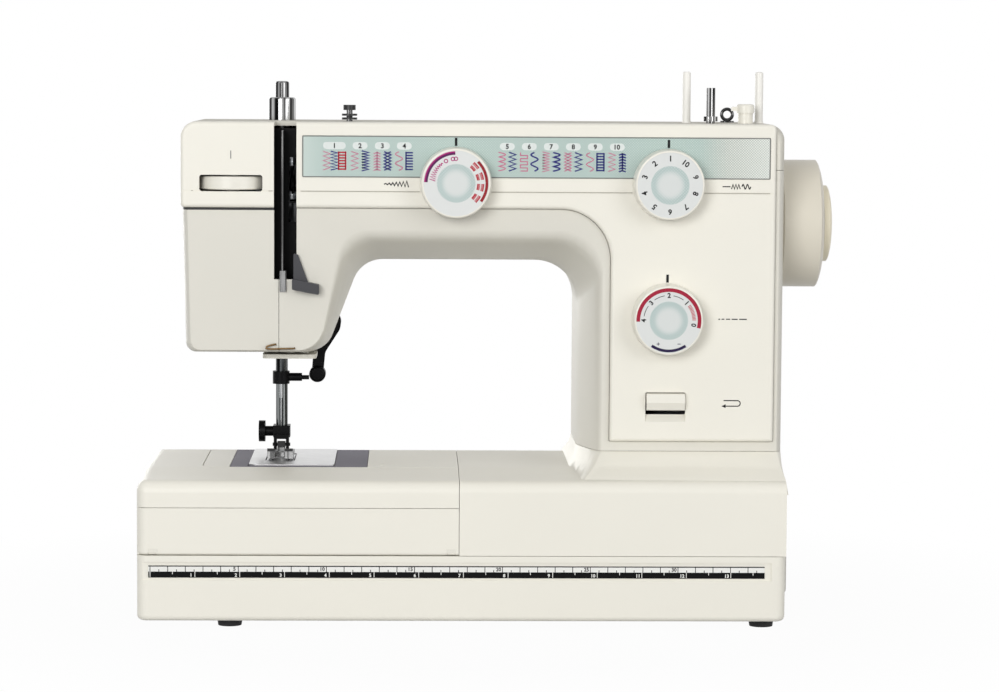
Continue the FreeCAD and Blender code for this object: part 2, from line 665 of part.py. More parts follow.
def make_base():
    """Tray, ruler strip and feet."""
    tray = plan_block((LEFT, RIGHT), (FRONT, BACK), (FOOT_HEIGHT, TRAY_TOP), 6)
    tray = tray.makeFillet(3, edges_where(tray, at_level("z", FOOT_HEIGHT)))
    hollow = plan_block((LEFT + TRAY_WALL, RIGHT - TRAY_WALL), (FRONT + TRAY_WALL, BACK - TRAY_WALL),
                        (FOOT_HEIGHT + TRAY_WALL, TRAY_TOP + 5), 3)
    length, height, middle = RULER
    start = LEFT + 6.8
    recess = box((start - 3.5, start + length + 4), (FRONT - 1, FRONT + 0.8), (middle - 4.8, middle + 5.4))
    keep("base_tray", tray.cut(hollow).cut(recess))
    keep("ruler_strip", box((start, start + length), (FRONT + 0.3, FRONT + 0.8), about(middle, height)))
    feet = []
    for x in (LEFT + FOOT_SPREAD_X[0], RIGHT - FOOT_SPREAD_X[1]):
        for y in (-FOOT_SPREAD_Y, FOOT_SPREAD_Y):
            foot = Part.makeCone(FOOT_RADIUS - 0.8, FOOT_RADIUS, FOOT_HEIGHT, V(x, y, 0))
            feet.append(foot)
    keep("rubber_feet", Part.Compound(feet))


def bed_profile(inset):
    """Section across the bed: flat over the free arm, sloping to rounded long edges."""
    low = TRAY_TOP + GAP - (5 if inset else 0)
    top = BED_TOP - inset
    return [
        (FRONT + inset, low, 0),
        (FRONT + inset, top - SHOULDER_DROP, BED_EDGE - inset),
        (FREE_ARM_FRONT, top, 3),
        (FREE_ARM_BACK, top, 3),
        (BACK - inset, top - REAR_DROP, BED_EDGE - inset),
        (BACK - inset, low, 0),
    ]


def foot_plan(level, growth, inset):
    """Outline of the column's foot at a level: the column's own plan, spread where it meets the bed."""
    stretch = 1 + growth * FOOT_FORWARD / abs(CASING_FRONT)
    left_side_points = []
    right_side_points = []
    for y, draw, _, open_column, _, _ in CASING_ROWS:
        y = inward(y, inset) * stretch
        x = COLUMN_LEFT + inset + open_column - growth * (FOOT_SIDEWAYS + FOOT_SQUARING * open_column)
        left_side_points.append((x, y, 0))
        right_side_points.append((RIGHT - inset - draw * (1 - growth), y, 0))
    return rounded_wire(left_side_points + right_side_points[::-1], "z", level)


def column_foot(inset):
    """The flare from the bed up to the column's seam, hollow-sided."""
    top = COLUMN_FOOT - GAP + (1 if inset else 0)
    bottom = BED_TOP - REAR_DROP - inset
    levels = [
        (bottom, FOOT_BELOW),
        (BED_TOP - 2 - inset, 1.0),
        (BED_TOP + 4.5 - inset, FOOT_HOLLOW),
        (top, 0.0),
    ]
    wires = [foot_plan(level, growth, inset) for level, growth in levels]
    return Part.makeLoft(wires, True, True)


def make_bed():
    """Right bed cover and the free arm's cover with its plates."""
    bed = prism(bed_profile(0), "x", TABLE_RIGHT, RIGHT)
    solid = fuse(bed, column_foot(0))
    hollow = prism(bed_profile(WALL), "x", TABLE_RIGHT - 5, RIGHT - WALL).fuse(column_foot(WALL))
    cover = solid.cut(hollow)
    wall = prism(bed_profile(0), "x", TABLE_RIGHT, TABLE_RIGHT + WALL)
    tunnel = box((TABLE_RIGHT - 5, TABLE_RIGHT + 5), (FREE_ARM_FRONT + WALL, FREE_ARM_BACK - WALL),
                 (TRAY_TOP, BED_TOP - 5))
    keep("bed_cover", largest(fuse(cover, wall.cut(tunnel))))

    x = (FREE_ARM_LEFT, TABLE_RIGHT - GAP)
    arm = plan_block((x[0], x[1] + 20), (FREE_ARM_FRONT, FREE_ARM_BACK), (FREE_ARM_FOOT, BED_TOP), 8)
    arm = arm.cut(box((x[1], FAR), (-FAR, FAR), (-FAR, FAR)))
    arm = arm.cut(box((x[0] + WALL, FAR), (FREE_ARM_FRONT + WALL, FREE_ARM_BACK - WALL),
                      (FREE_ARM_FOOT - 1, BED_TOP - 5)))
    left, right = NEEDLE_X - 28, NEEDLE_X + 51.5
    depth = PLATE_THICK - PLATE_PROUD
    arm = arm.cut(box((left - GAP, right + GAP), (-FAR, FAR), (BED_TOP - depth, FAR)))
    arm = arm.cut(box(about(NEEDLE_X, 26), (-24, 28), (BED_TOP - 8, FAR)))
    door = box((NEEDLE_X - 27, NEEDLE_X + 27), (FREE_ARM_FRONT, FREE_ARM_FRONT + WALL),
               (FREE_ARM_FOOT + 5, BED_TOP - 8))
    door_room = box((NEEDLE_X - 27 - GAP, NEEDLE_X + 27 + GAP),
                    (FREE_ARM_FRONT - 1, FREE_ARM_FRONT + WALL + 0.1),
                    (FREE_ARM_FOOT + 5 - GAP, BED_TOP - 8 + GAP))
    guide_hole = upright(GUIDE_HOLE, (BED_TOP - 9, BED_TOP + 1), GUIDE_HOLE_RADIUS)
    keep("free_arm_cover", arm.cut(door_room).cut(guide_hole))

    plate_left, plate_right = NEEDLE_X - 17.5, NEEDLE_X + 32.3
    front, back = FREE_ARM_FRONT, FREE_ARM_BACK
    z = (BED_TOP - depth, BED_TOP)
    inserts = [
        box((left, plate_left - GAP), (front, back), z),
        box((plate_right + GAP, right), (front, back), z),
        box((plate_left, plate_right), (front, front + 7 - GAP), z),
    ]
    keep("bed_plates", Part.Compound(inserts + [door]))
    corners = [
        (plate_left, front + 7, 5),
        (plate_right, front + 7, 1.5),
        (plate_right, back, 1),
        (plate_left, back, 1),
    ]
    plate = prism(corners, "z", BED_TOP - depth, BED_TOP + PLATE_PROUD)
    for side in (-1, 1):
        plate = plate.cut(box(about(NEEDLE_X + side * FEED_ROW, FEED_ROW_WIDTH + 1.2),
                              (FEED_Y[0] - 3.5, FEED_Y[1] + 3.5), (BED_TOP - 9, BED_TOP + 9)))
    plate = plate.cut(box(about(NEEDLE_X, 8), about(0, 2.4), (BED_TOP - 9, BED_TOP + 9)))
    keep("needle_plate", plate)


def table_solid():
    """Outer form of the extension table, before it is hollowed."""
    block = prism(bed_profile(0), "x", LEFT, TABLE_RIGHT - GAP)
    return block.makeFillet(6, edges_where(block, lambda b: b.XMax < LEFT + 0.01 and b.ZMax > TRAY_TOP + 1))


def make_table():
    """Extension table round the free arm, and the flap of its accessory box."""
    solid = table_solid()
    right = TABLE_RIGHT - GAP
    arm = plan_block((FREE_ARM_LEFT - PLAY, right + 30), (FREE_ARM_FRONT - PLAY, FREE_ARM_BACK + PLAY),
                     (TRAY_TOP - 5, BED_TOP + 5), 8)
    inner_z = (TRAY_TOP + GAP + WALL, BED_TOP - SHOULDER_DROP - 5)
    box_front = box((LEFT + WALL + 3, right - WALL), (FRONT + 6, FREE_ARM_FRONT - PLAY - WALL), inner_z)
    box_back = box((LEFT + WALL + 3, right - WALL), (FREE_ARM_BACK + PLAY + WALL, BACK - WALL - 3),
                   (TRAY_TOP - 5, BED_TOP - REAR_DROP - 5))
    box_left = box((LEFT + WALL + 3, FREE_ARM_LEFT - PLAY - WALL), (FREE_ARM_FRONT, FREE_ARM_BACK),
                   (TRAY_TOP - 5, inner_z[1]))
    flap_room = box((-FAR, FAR), (-FAR, FRONT + FLAP_THICK + GAP), (-FAR, FLAP_TOP))
    mouth = box((LEFT + 9, right - 6), (FRONT - 1, FRONT + 10), (FLAP_FOOT + 4, FLAP_TOP - 4))
    table = solid.cut(arm).cut(box_front).cut(box_back).cut(box_left).cut(flap_room).cut(mouth)
    blank = solid.common(box((-FAR, FAR), (-FAR, FRONT + FLAP_THICK), (FLAP_FOOT, FLAP_TOP - GAP)))
    axis_y = FRONT + FLAP_THICK / 2
    axis_z = FLAP_FOOT + FLAP_THICK / 2
    bottom = edges_where(blank, lambda b: abs(b.ZMax - FLAP_FOOT) < 1e-3 and b.XLength > 100)
    flap = blank.makeFillet(FLAP_THICK / 2 - 0.02, bottom)
    pins = []
    lugs = []
    bores = []
    for x in (LEFT + FLAP_LUG_INSETS[0], right - FLAP_LUG_INSETS[1]):
        room = FLAP_LUG_WIDTH + 2 * GAP
        flap = flap.cut(box(about(x, room), (-FAR, FAR), (-FAR, axis_z + FLAP_LUG_RADIUS + PLAY)))
        pin_x = about(x, room + 2.4)
        pins.append(along_x(pin_x, axis_y, axis_z, FLAP_PIN_RADIUS))
        bores.append(along_x(pin_x, axis_y, axis_z, FLAP_PIN_RADIUS + RUN))
        lug_x = about(x, FLAP_LUG_WIDTH)
        lugs.append(along_x(lug_x, axis_y, axis_z, FLAP_LUG_RADIUS))
        lugs.append(box(lug_x, (axis_y, FRONT + 6.2), (TRAY_TOP + GAP + 1, axis_z + FLAP_LUG_RADIUS)))
    table = fuse(table, *lugs).cut(bores[0].fuse(bores[1]))
    keep("extension_table", largest(table))
    keep("accessory_flap", largest(fuse(flap, *pins)))


# Frame, shafts and drive

def make_frame():
    """The cast frame that carries every shaft and bar."""
    pieces = [
        box((FREE_ARM_LEFT + 8, TABLE_RIGHT + 30), (-30, 34), BED_PLATE),
        box((TABLE_RIGHT + 20, RIGHT - 10), (-50, 50), BED_PLATE),
        box(POST_X, POST_Y, (BED_PLATE[0], ARM_PLATE[1])),
        box((LEFT_BEARING[0], POST_X[1]), (-22, 30), ARM_PLATE),
        box(LEFT_BEARING, (-36, 30), (ARM_PLATE[0], SHAFT_HEIGHT + 23)),
        box(RIGHT_BEARING, (-14, 30), (ARM_PLATE[0], SHAFT_HEIGHT + 17)),
        box((NEEDLE_X - 27, LEFT_BEARING[0] + 1), BRACKET_Y, (HEAD_FOOT + 12, ARM_TOP - 24)),
        box((NEEDLE_X - 48, NEEDLE_X - 20), BRACKET_Y, (ARM_PLATE[0] - 12, ARM_PLATE[0] + 4)),
        box(about(LAMP[0], 16), (LAMP[1] - 8, BRACKET_Y[1]), (ARM_PLATE[0], ARM_PLATE[0] + 4)),
        box(about(CAM_AXIS[0], 31), (26, 30), (ARM_PLATE[0], CAM_AXIS[1] + 20.4)),
        box(about(NEEDLE_X, 20), (-3, 7), (BED_PLATE[0], LOWER_SHAFT_Z + 7)),
    ]
    for low, high in ((HEAD_FOOT + 18, HEAD_FOOT + 26), (SHAFT_HEIGHT + 7, SHAFT_HEIGHT + 15)):
        pieces.append(box(about(NEEDLE_X, 14), (PRESSER_Y - 5.5, BRACKET_Y[0] + 1), (low, high)))
    for span in LOWER_BEARINGS:
        pieces.append(box(span, about(LOWER_SHAFT_Y, 20), (BED_PLATE[0], LOWER_SHAFT_Z + 10)))
    for x in (FREE_ARM_LEFT + 20, TABLE_RIGHT + 30, RIGHT - 20):
        for y in (-22, 26):
            pieces.append(upright((x, y), (FOOT_HEIGHT + TRAY_WALL, BED_PLATE[1]), 6))
    pieces.append(along_y(GATE_PIVOT, (-7, BRACKET_Y[0] + 1), 3))
    pieces.append(rod((LEFT_BEARING[0] + 1, *TAKE_UP_PIVOT), (TAKE_UP_X - 2.5, *TAKE_UP_PIVOT), 2.5))
    pieces.append(along_y(LIFTER_PIVOT, (BRACKET_Y[0] + 1, LIFTER_Y[1] + 2), 3))
    pieces.append(along_y(CAM_AXIS, (-6, 28), 3))
    frame = fuse(*pieces)
    frame = frame.cut(box((POST_X[0] + 5, POST_X[1] - 5), (POST_Y[0] + 5, POST_Y[1] + 5),
                          (BED_PLATE[1] + 8, ARM_PLATE[0] - 8)))
    belt_room = (TIMING_X[0] - 4, TIMING_X[1] + 4)
    frame = frame.cut(box(belt_room, (-30, 24), (ARM_PLATE[0] - 5, ARM_PLATE[1] + 5)))
    upper = SHAFT_RADIUS + RUN + BUSH_WALL
    for span in (LEFT_BEARING, RIGHT_BEARING):
        frame = frame.cut(rod((span[0] - 1, 0, SHAFT_HEIGHT), (span[1] + 1, 0, SHAFT_HEIGHT), upper))
    lower = LOWER_SHAFT_RADIUS + RUN + BUSH_WALL
    for span in LOWER_BEARINGS:
        frame = frame.cut(rod((span[0] - 1, LOWER_SHAFT_Y, LOWER_SHAFT_Z),
                              (span[1] + 1, LOWER_SHAFT_Y, LOWER_SHAFT_Z), lower))
    frame = frame.cut(upright((NEEDLE_X, PRESSER_Y), (HEAD_FOOT, ARM_TOP), PRESSER_RADIUS + RUN))
    frame = frame.cut(along_y((NEEDLE_X, LOWER_SHAFT_Z), (-10, 10), LOWER_SHAFT_RADIUS + RUN))
    keep("main_frame", largest(frame))
    bushes = []
    for span in (LEFT_BEARING, RIGHT_BEARING):
        bushes.append(ring((span[0], 0, SHAFT_HEIGHT), (span[1], 0, SHAFT_HEIGHT),
                           upper, SHAFT_RADIUS + RUN))
    for span in LOWER_BEARINGS:
        bushes.append(ring((span[0], LOWER_SHAFT_Y, LOWER_SHAFT_Z), (span[1], LOWER_SHAFT_Y, LOWER_SHAFT_Z),
                           lower, LOWER_SHAFT_RADIUS + RUN))
    keep("shaft_bushes", Part.Compound(bushes))


def make_upper_shaft():
    """Upper shaft with its crank and worm, its pulleys, the handwheel and the clutch knob."""
    z = SHAFT_HEIGHT
    crank_x = LEFT_BEARING[0] - 8
    end = RIGHT + WHEEL_REACH - 4
    shaft = along_x((crank_x, end), 0, z, SHAFT_RADIUS)
    disc = along_x((crank_x, crank_x + 6), 0, z, CRANK_THROW + 3)
    pin = along_x((crank_x - 6, crank_x + 1), 0, z + CRANK_THROW, 3)
    worm = along_x((CAM_AXIS[0] - 8.5, CAM_AXIS[0] + 8.5), 0, z, WORM_RADIUS)
    keep("upper_shaft", fuse(shaft, disc, pin, worm))
    pulleys = [ring((TIMING_X[0], 0, z), (TIMING_X[1], 0, z), TIMING_UPPER_RADIUS, SHAFT_RADIUS)]
    big = ring((PULLEY_X[0], 0, z), (PULLEY_X[1], 0, z), DRIVE_PULLEY_RADIUS, SHAFT_RADIUS)
    pulleys.append(big)
    keep("drive_pulleys", Part.Compound(pulleys))

    inner, outer = RIGHT + 1.5, RIGHT + WHEEL_REACH - CLUTCH_DEPTH
    edge = [(0, inner), (WHEEL_RADIUS - WHEEL_EDGE, inner), (WHEEL_RADIUS, inner + WHEEL_EDGE)]
    for drop, back in WHEEL_CROWN:
        edge.append((WHEEL_RADIUS - drop, outer - back))
    edge.extend([(CLUTCH_RADIUS + 1.5, outer), (0, outer)])
    wheel = revolve_x(edge, 0, z)
    hub = along_x((PULLEY_X[1] + 0.5, inner + 1), 0, z, 11)
    wheel = fuse(wheel, hub)
    wheel = wheel.cut(along_x((PULLEY_X[1], outer + 5), 0, z, SHAFT_RADIUS))
    wheel = wheel.cut(ring((inner - 1, 0, z), (inner + 12, 0, z), WHEEL_RADIUS - 5, 15))
    keep("handwheel", wheel)
    knob_edge = [(0, outer + GAP), (CLUTCH_RADIUS, outer + GAP)]
    for drop, back in CLUTCH_CROWN:
        knob_edge.append((CLUTCH_RADIUS - drop, outer + CLUTCH_DEPTH - back))
    knob_edge.append((0, outer + CLUTCH_DEPTH))
    knob = revolve_x(knob_edge, 0, z)
    keep("clutch_knob", knob.cut(along_x((outer - 1, end + GAP), 0, z, SHAFT_RADIUS + RUN)))


def revolve_x(points, y, z):
    """A solid turned about an axis along X from (radius, x) points."""
    corners = [V(x, y, z + radius) for radius, x in points]
    face = Part.Face(Part.makePolygon(corners + corners[:1]))
    return face.revolve(V(0, y, z), V(1, 0, 0), 360)


def belt(x, upper, lower):
    """A flat belt round two pulleys that turn about axes along X."""
    outer = belt_hull(x, upper, lower, BELT_THICK + 0.3)
    inner = belt_hull((x[0] - 1, x[1] + 1), upper, lower, 0.3)
    return outer.cut(inner)


def belt_hull(x, upper, lower, grow):
    """The space inside a belt line drawn round two circles of (y, z, radius)."""
    y0, z0, r0 = upper[0], upper[1], upper[2] + grow
    y1, z1, r1 = lower[0], lower[1], lower[2] + grow
    span = math.hypot(y1 - y0, z1 - z0)
    heading = math.atan2(z1 - z0, y1 - y0)
    spread = math.acos((r0 - r1) / span)
    points = []
    first, second = (y0, z0, r0), (y1, z1, r1)
    for (y, z, r), turn in ((first, spread), (second, spread), (second, -spread), (first, -spread)):
        points.append(V(x[0], y + r * math.cos(heading + turn), z + r * math.sin(heading + turn)))
    quad = Part.Face(Part.makePolygon(points + points[:1])).extrude(V(x[1] - x[0], 0, 0))
    return fuse(quad, along_x(x, y0, z0, r0), along_x(x, y1, z1, r1))


def make_drive():
    """Motor, belts, lower shaft, hook and bobbin."""
    can = along_x(MOTOR_X, MOTOR_Y, MOTOR_Z, MOTOR_RADIUS)
    seat = box((MOTOR_X[0] + 10, MOTOR_X[1] - 10), about(MOTOR_Y, 28), (BED_PLATE[1], MOTOR_Z - 10))
    rotor_end = MOTOR_X[0] + 19
    bore = along_x((rotor_end - 1, MOTOR_X[1] + 2), MOTOR_Y, MOTOR_Z, MOTOR_SHAFT_RADIUS + RUN)
    keep("motor", fuse(can, seat).cut(bore))
    rotor = along_x((rotor_end, PULLEY_X[1]), MOTOR_Y, MOTOR_Z, MOTOR_SHAFT_RADIUS)
    keep("motor_rotor", fuse(rotor, along_x(PULLEY_X, MOTOR_Y, MOTOR_Z, MOTOR_PULLEY_RADIUS)))
    drive = belt(about(sum(PULLEY_X) / 2, BELT_WIDTH), (0, SHAFT_HEIGHT, DRIVE_PULLEY_RADIUS),
                 (MOTOR_Y, MOTOR_Z, MOTOR_PULLEY_RADIUS))
    timing = belt(about(sum(TIMING_X) / 2, BELT_WIDTH), (0, SHAFT_HEIGHT, TIMING_UPPER_RADIUS),
                  (LOWER_SHAFT_Y, LOWER_SHAFT_Z, TIMING_LOWER_RADIUS))
    keep("belts", Part.Compound([drive, timing]))
    y, z = LOWER_SHAFT_Y, LOWER_SHAFT_Z
    shaft = along_x((NEEDLE_X + 6, TIMING_X[1] + 4), y, z, LOWER_SHAFT_RADIUS)
    gear = Part.makeCone(GEAR_RADIUS - GAP, 4.7, 4, V(NEEDLE_X + GEAR_RADIUS, y, z), V(-1, 0, 0))
    boss = along_x((NEEDLE_X + GEAR_RADIUS, NEEDLE_X + GEAR_RADIUS + 6), y, z, 7)
    pulley = along_x(TIMING_X, y, z, TIMING_LOWER_RADIUS)
    keep("lower_shaft", fuse(shaft, gear, boss, pulley))
    hook_shaft = rod((NEEDLE_X, -6, z), (NEEDLE_X, y - GEAR_RADIUS + 1, z), LOWER_SHAFT_RADIUS)
    hook_gear = Part.makeCone(GEAR_RADIUS - GAP, 4.7, 4, V(NEEDLE_X, y - GEAR_RADIUS, z), V(0, 1, 0))
    hook_boss = rod((NEEDLE_X, 7.5, z), (NEEDLE_X, y - GEAR_RADIUS, z), 7)
    cup = ring((NEEDLE_X, -22, z), (NEEDLE_X, -6, z), HOOK_RADIUS, HOOK_RADIUS - 2)
    back = rod((NEEDLE_X, -6.5, z), (NEEDLE_X, -4, z), HOOK_RADIUS)
    keep("rotary_hook", fuse(hook_shaft, hook_gear, hook_boss, cup, back))
    case = ring((NEEDLE_X, -24, z), (NEEDLE_X, -8.5, z), HOOK_RADIUS - 2.3, HOOK_RADIUS - 3.5)
    lid = rod((NEEDLE_X, -25.5, z), (NEEDLE_X, -24, z), HOOK_RADIUS - 2.3)
    latch = box(about(NEEDLE_X, 5), (-27, -25), (z - 3, z + 12))
    case = fuse(case, lid, latch)
    r = HOOK_RADIUS - 3.9
    core = ring((NEEDLE_X, -22.5, z), (NEEDLE_X, -9.5, z), 4.5, 2.8)
    flanges = [ring((NEEDLE_X, a, z), (NEEDLE_X, b, z), r, 2.8) for a, b in ((-22.5, -21.5), (-10.5, -9.5))]
    thread = ring((NEEDLE_X, -21.5, z), (NEEDLE_X, -10.5, z), r - 1.5, 4)
    keep("bobbin_and_case", Part.Compound([case, fuse(core, thread, *flanges)]))
    rows = []
    for side in (-1, 1):
        row_x = about(NEEDLE_X + side * FEED_ROW, FEED_ROW_WIDTH)
        rows.append(box(row_x, FEED_Y, (BED_TOP - 6, BED_TOP + 0.2)))
    base = box(about(NEEDLE_X, 18), (6, 24), (BED_TOP - 9, BED_TOP - 5.6))
    bar = box((NEEDLE_X + 5, NEEDLE_X + 62), (14, 24), (BED_TOP - 9, BED_TOP - 5.6))
    keep("feed_dog", fuse(base, bar, *rows))
    x, cam_z = CAM_AXIS
    cams = [ring((x, -4, cam_z), (x, 4, cam_z), CAM_GEAR_RADIUS, 3 + RUN)]
    for i in range(4):
        lobe = rod((x + 1.5 * math.cos(i), 4 + 4.5 * i, cam_z + 1.5 * math.sin(i)),
                   (x + 1.5 * math.cos(i), 8.5 + 4.5 * i, cam_z + 1.5 * math.sin(i)), 12 - 0.6 * i)
        cams.append(lobe)
    cam = fuse(*cams).cut(rod((x, -10, cam_z), (x, 40, cam_z), 3 + RUN))
    keep("cam_stack", cam)
    seat = ARM_PLATE[0]
    cap = upright(LAMP, (seat - LAMP_CAP_HEIGHT, seat), 7.5)
    bulb = upright(LAMP, (LAMP_FOOT + 4, seat - LAMP_CAP_HEIGHT + 1), 6.5)
    keep("lamp", fuse(cap, bulb, upright(LAMP, (LAMP_FOOT, LAMP_FOOT + 5), 4.5)))


# Needle, presser foot, take-up and thread path

def make_needle():
    """Needle bar, its swinging gate, the connecting rod, clamp and needle."""
    place = (NEEDLE_X, 0)
    bar = upright(place, (NEEDLE_BAR_FOOT, NEEDLE_BAR_TOP), NEEDLE_BAR_RADIUS)
    block = box((NEEDLE_X - 5, NEEDLE_X + 4.5), (-5, 5), BLOCK_Z)
    middle = sum(BLOCK_Z) / 2
    stud = along_x((NEEDLE_X + 4, NEEDLE_X + 11), 0, middle, 2.5)
    keep("needle_bar", fuse(bar, block, stud))
    rod_x = (NEEDLE_X + 7.4, NEEDLE_X + 10.6)
    top = SHAFT_HEIGHT + CRANK_THROW
    shank = box(rod_x, (-2.5, 2.5), (middle, top))
    link = fuse(along_x(rod_x, 0, middle, 5), along_x(rod_x, 0, top, 5), shank)
    keep("connecting_rod", link.cut(along_x((rod_x[0] - 1, rod_x[1] + 1), 0, middle, 2.5)))
    y = (-6, 4.6)
    pieces = [box((GATE_PIVOT[0] - 4, NEEDLE_X - 6), y, (GATE_LUGS[0][0], GATE_PIVOT[1] + 6))]
    for span in GATE_LUGS:
        pieces.append(box((GATE_PIVOT[0] - 4, NEEDLE_X + 6), y, span))
    gate = fuse(*pieces)
    gate = gate.cut(upright(place, (100, 300), NEEDLE_BAR_RADIUS + RUN))
    keep("needle_bar_gate", gate.cut(along_y(GATE_PIVOT, (-20, 20), 3 + RUN)))
    clamp = upright(place, (NEEDLE_BAR_FOOT - 1.5, NEEDLE_BAR_FOOT + 6), 5)
    screw = along_x((NEEDLE_X + 3, NEEDLE_X + 12.3), 0, NEEDLE_BAR_FOOT + 2.4, 2.4)
    head = along_x((NEEDLE_X + 12, NEEDLE_X + 16.5), 0, NEEDLE_BAR_FOOT + 2.2, 1.3)
    hook = fuse(clamp, screw, head)
    socket = upright(place, (NEEDLE_BAR_FOOT, NEEDLE_BAR_FOOT + 20), NEEDLE_BAR_RADIUS)
    keep("needle_clamp", hook.cut(socket))
    shank = upright(place, (NEEDLE_BAR_FOOT - 10, NEEDLE_BAR_FOOT - 1.5), 1.0)
    blade = upright(place, (NEEDLE_TIP + 4, NEEDLE_BAR_FOOT - 9), 0.45)
    tip = Part.makeCone(0.05, 0.45, 4, V(NEEDLE_X, 0, NEEDLE_TIP))
    keep("needle", fuse(shank, blade, tip))


def make_presser():
    """Presser bar with its spring, the lifter, the foot holder and the foot."""
    place = (NEEDLE_X, PRESSER_Y)
    bar = upright(place, (PRESSER_FOOT_Z + 10, ARM_TOP - 26), PRESSER_RADIUS)
    guide = box(about(NEEDLE_X, 12), (PRESSER_Y - 4.5, PRESSER_Y + 6), PRESSER_GUIDE_Z)
    spring = ring((*place, PRESSER_GUIDE_Z[1]), (*place, SHAFT_HEIGHT), PRESSER_SPRING_RADIUS, PRESSER_RADIUS)
    keep("presser_bar", fuse(bar, guide, spring))
    y_pin, z_pin = ANKLE_PIN
    holder = fuse(box(about(NEEDLE_X, 10), (PRESSER_Y - 5, PRESSER_Y + 5.5), (z_pin + 4, z_pin + 11)),
                  box(about(NEEDLE_X, 9), (y_pin - 3, PRESSER_Y + 5.5), (z_pin + 3.4, z_pin + 6)),
                  box((NEEDLE_X - 4.5, NEEDLE_X - 2.7), (y_pin - 3, y_pin + 3), (z_pin - 3, z_pin + 5)),
                  box((NEEDLE_X + 2.7, NEEDLE_X + 4.5), (y_pin - 3, y_pin + 3), (z_pin - 3, z_pin + 5)))
    holder = holder.cut(upright(place, (PRESSER_FOOT_Z + 10, 200), PRESSER_RADIUS))
    holder = holder.cut(along_x((NEEDLE_X - 20, NEEDLE_X + 20), y_pin, z_pin, 1 + RUN))
    screw = fuse(along_x((NEEDLE_X - 10, NEEDLE_X - 4.5), PRESSER_Y, z_pin + HOLDER_SCREW_RISE, 3),
                 along_x((NEEDLE_X - 13.6, NEEDLE_X - 9.8), PRESSER_Y, z_pin + HOLDER_SCREW_RISE, 6.3))
    keep("foot_holder", fuse(holder, screw))
    sole = box(about(NEEDLE_X, FOOT_WIDTH), FOOT_Y, (PRESSER_FOOT_Z, PRESSER_FOOT_Z + 2.2))
    toes = box(about(NEEDLE_X, 6), (FOOT_Y[0] - 1, -6), (PRESSER_FOOT_Z - 1, PRESSER_FOOT_Z + 9))
    eye = box(about(NEEDLE_X, 9), (-3.0, 2.4), (PRESSER_FOOT_Z - 1, PRESSER_FOOT_Z + 9))
    yoke = box(about(NEEDLE_X, 4.6), (y_pin - 1.8, y_pin + 1.8), (PRESSER_FOOT_Z, z_pin + 1.8))
    pin = along_x((NEEDLE_X - 5.2, NEEDLE_X + 5.2), y_pin, z_pin, 1)
    ramp = [
        (FOOT_Y[0], PRESSER_FOOT_Z + 1, 0),
        (FOOT_Y[0] + 7, PRESSER_FOOT_Z + 1, 0),
        (FOOT_Y[0] - 0.01, PRESSER_FOOT_Z + 6, 0),
    ]
    toe = prism(ramp, "x", *about(NEEDLE_X, FOOT_WIDTH))
    foot = fuse(sole, toe).cut(toes).cut(eye)
    keep("presser_foot", largest(fuse(foot, yoke, pin)))
    x, z = LIFTER_PIVOT
    arm = [
        (x - 5, z + 5, 4),
        (x + 6, z + 6, 4),
        (x + 20, z - 2, 6),
        (x + 19, z - 10, 8),
        (x + 10, z - 24, 8),
        (x + 9, z - 36, 2),
        (x + 2, z - 36, 2),
        (x + 3, z - 22, 8),
        (x + 11, z - 8, 3),
        (x + 2, z - 5, 4),
        (x - 5, z - 4, 4),
    ]
    lever = prism(arm, "y", *LIFTER_Y)
    knob = rod((x + 5.4, LIFTER_Y[0] - 3, z - 37), (x + 5.4, LIFTER_Y[1] + 3, z - 37), 5)
    knob = knob.makeFillet(2, [e for e in knob.Edges if e.Closed and e.Length < 40])
    lever = fuse(lever, knob)
    keep("lifter_lever", lever.cut(rod((x, 0, z), (x, 60, z), 3 + RUN)))


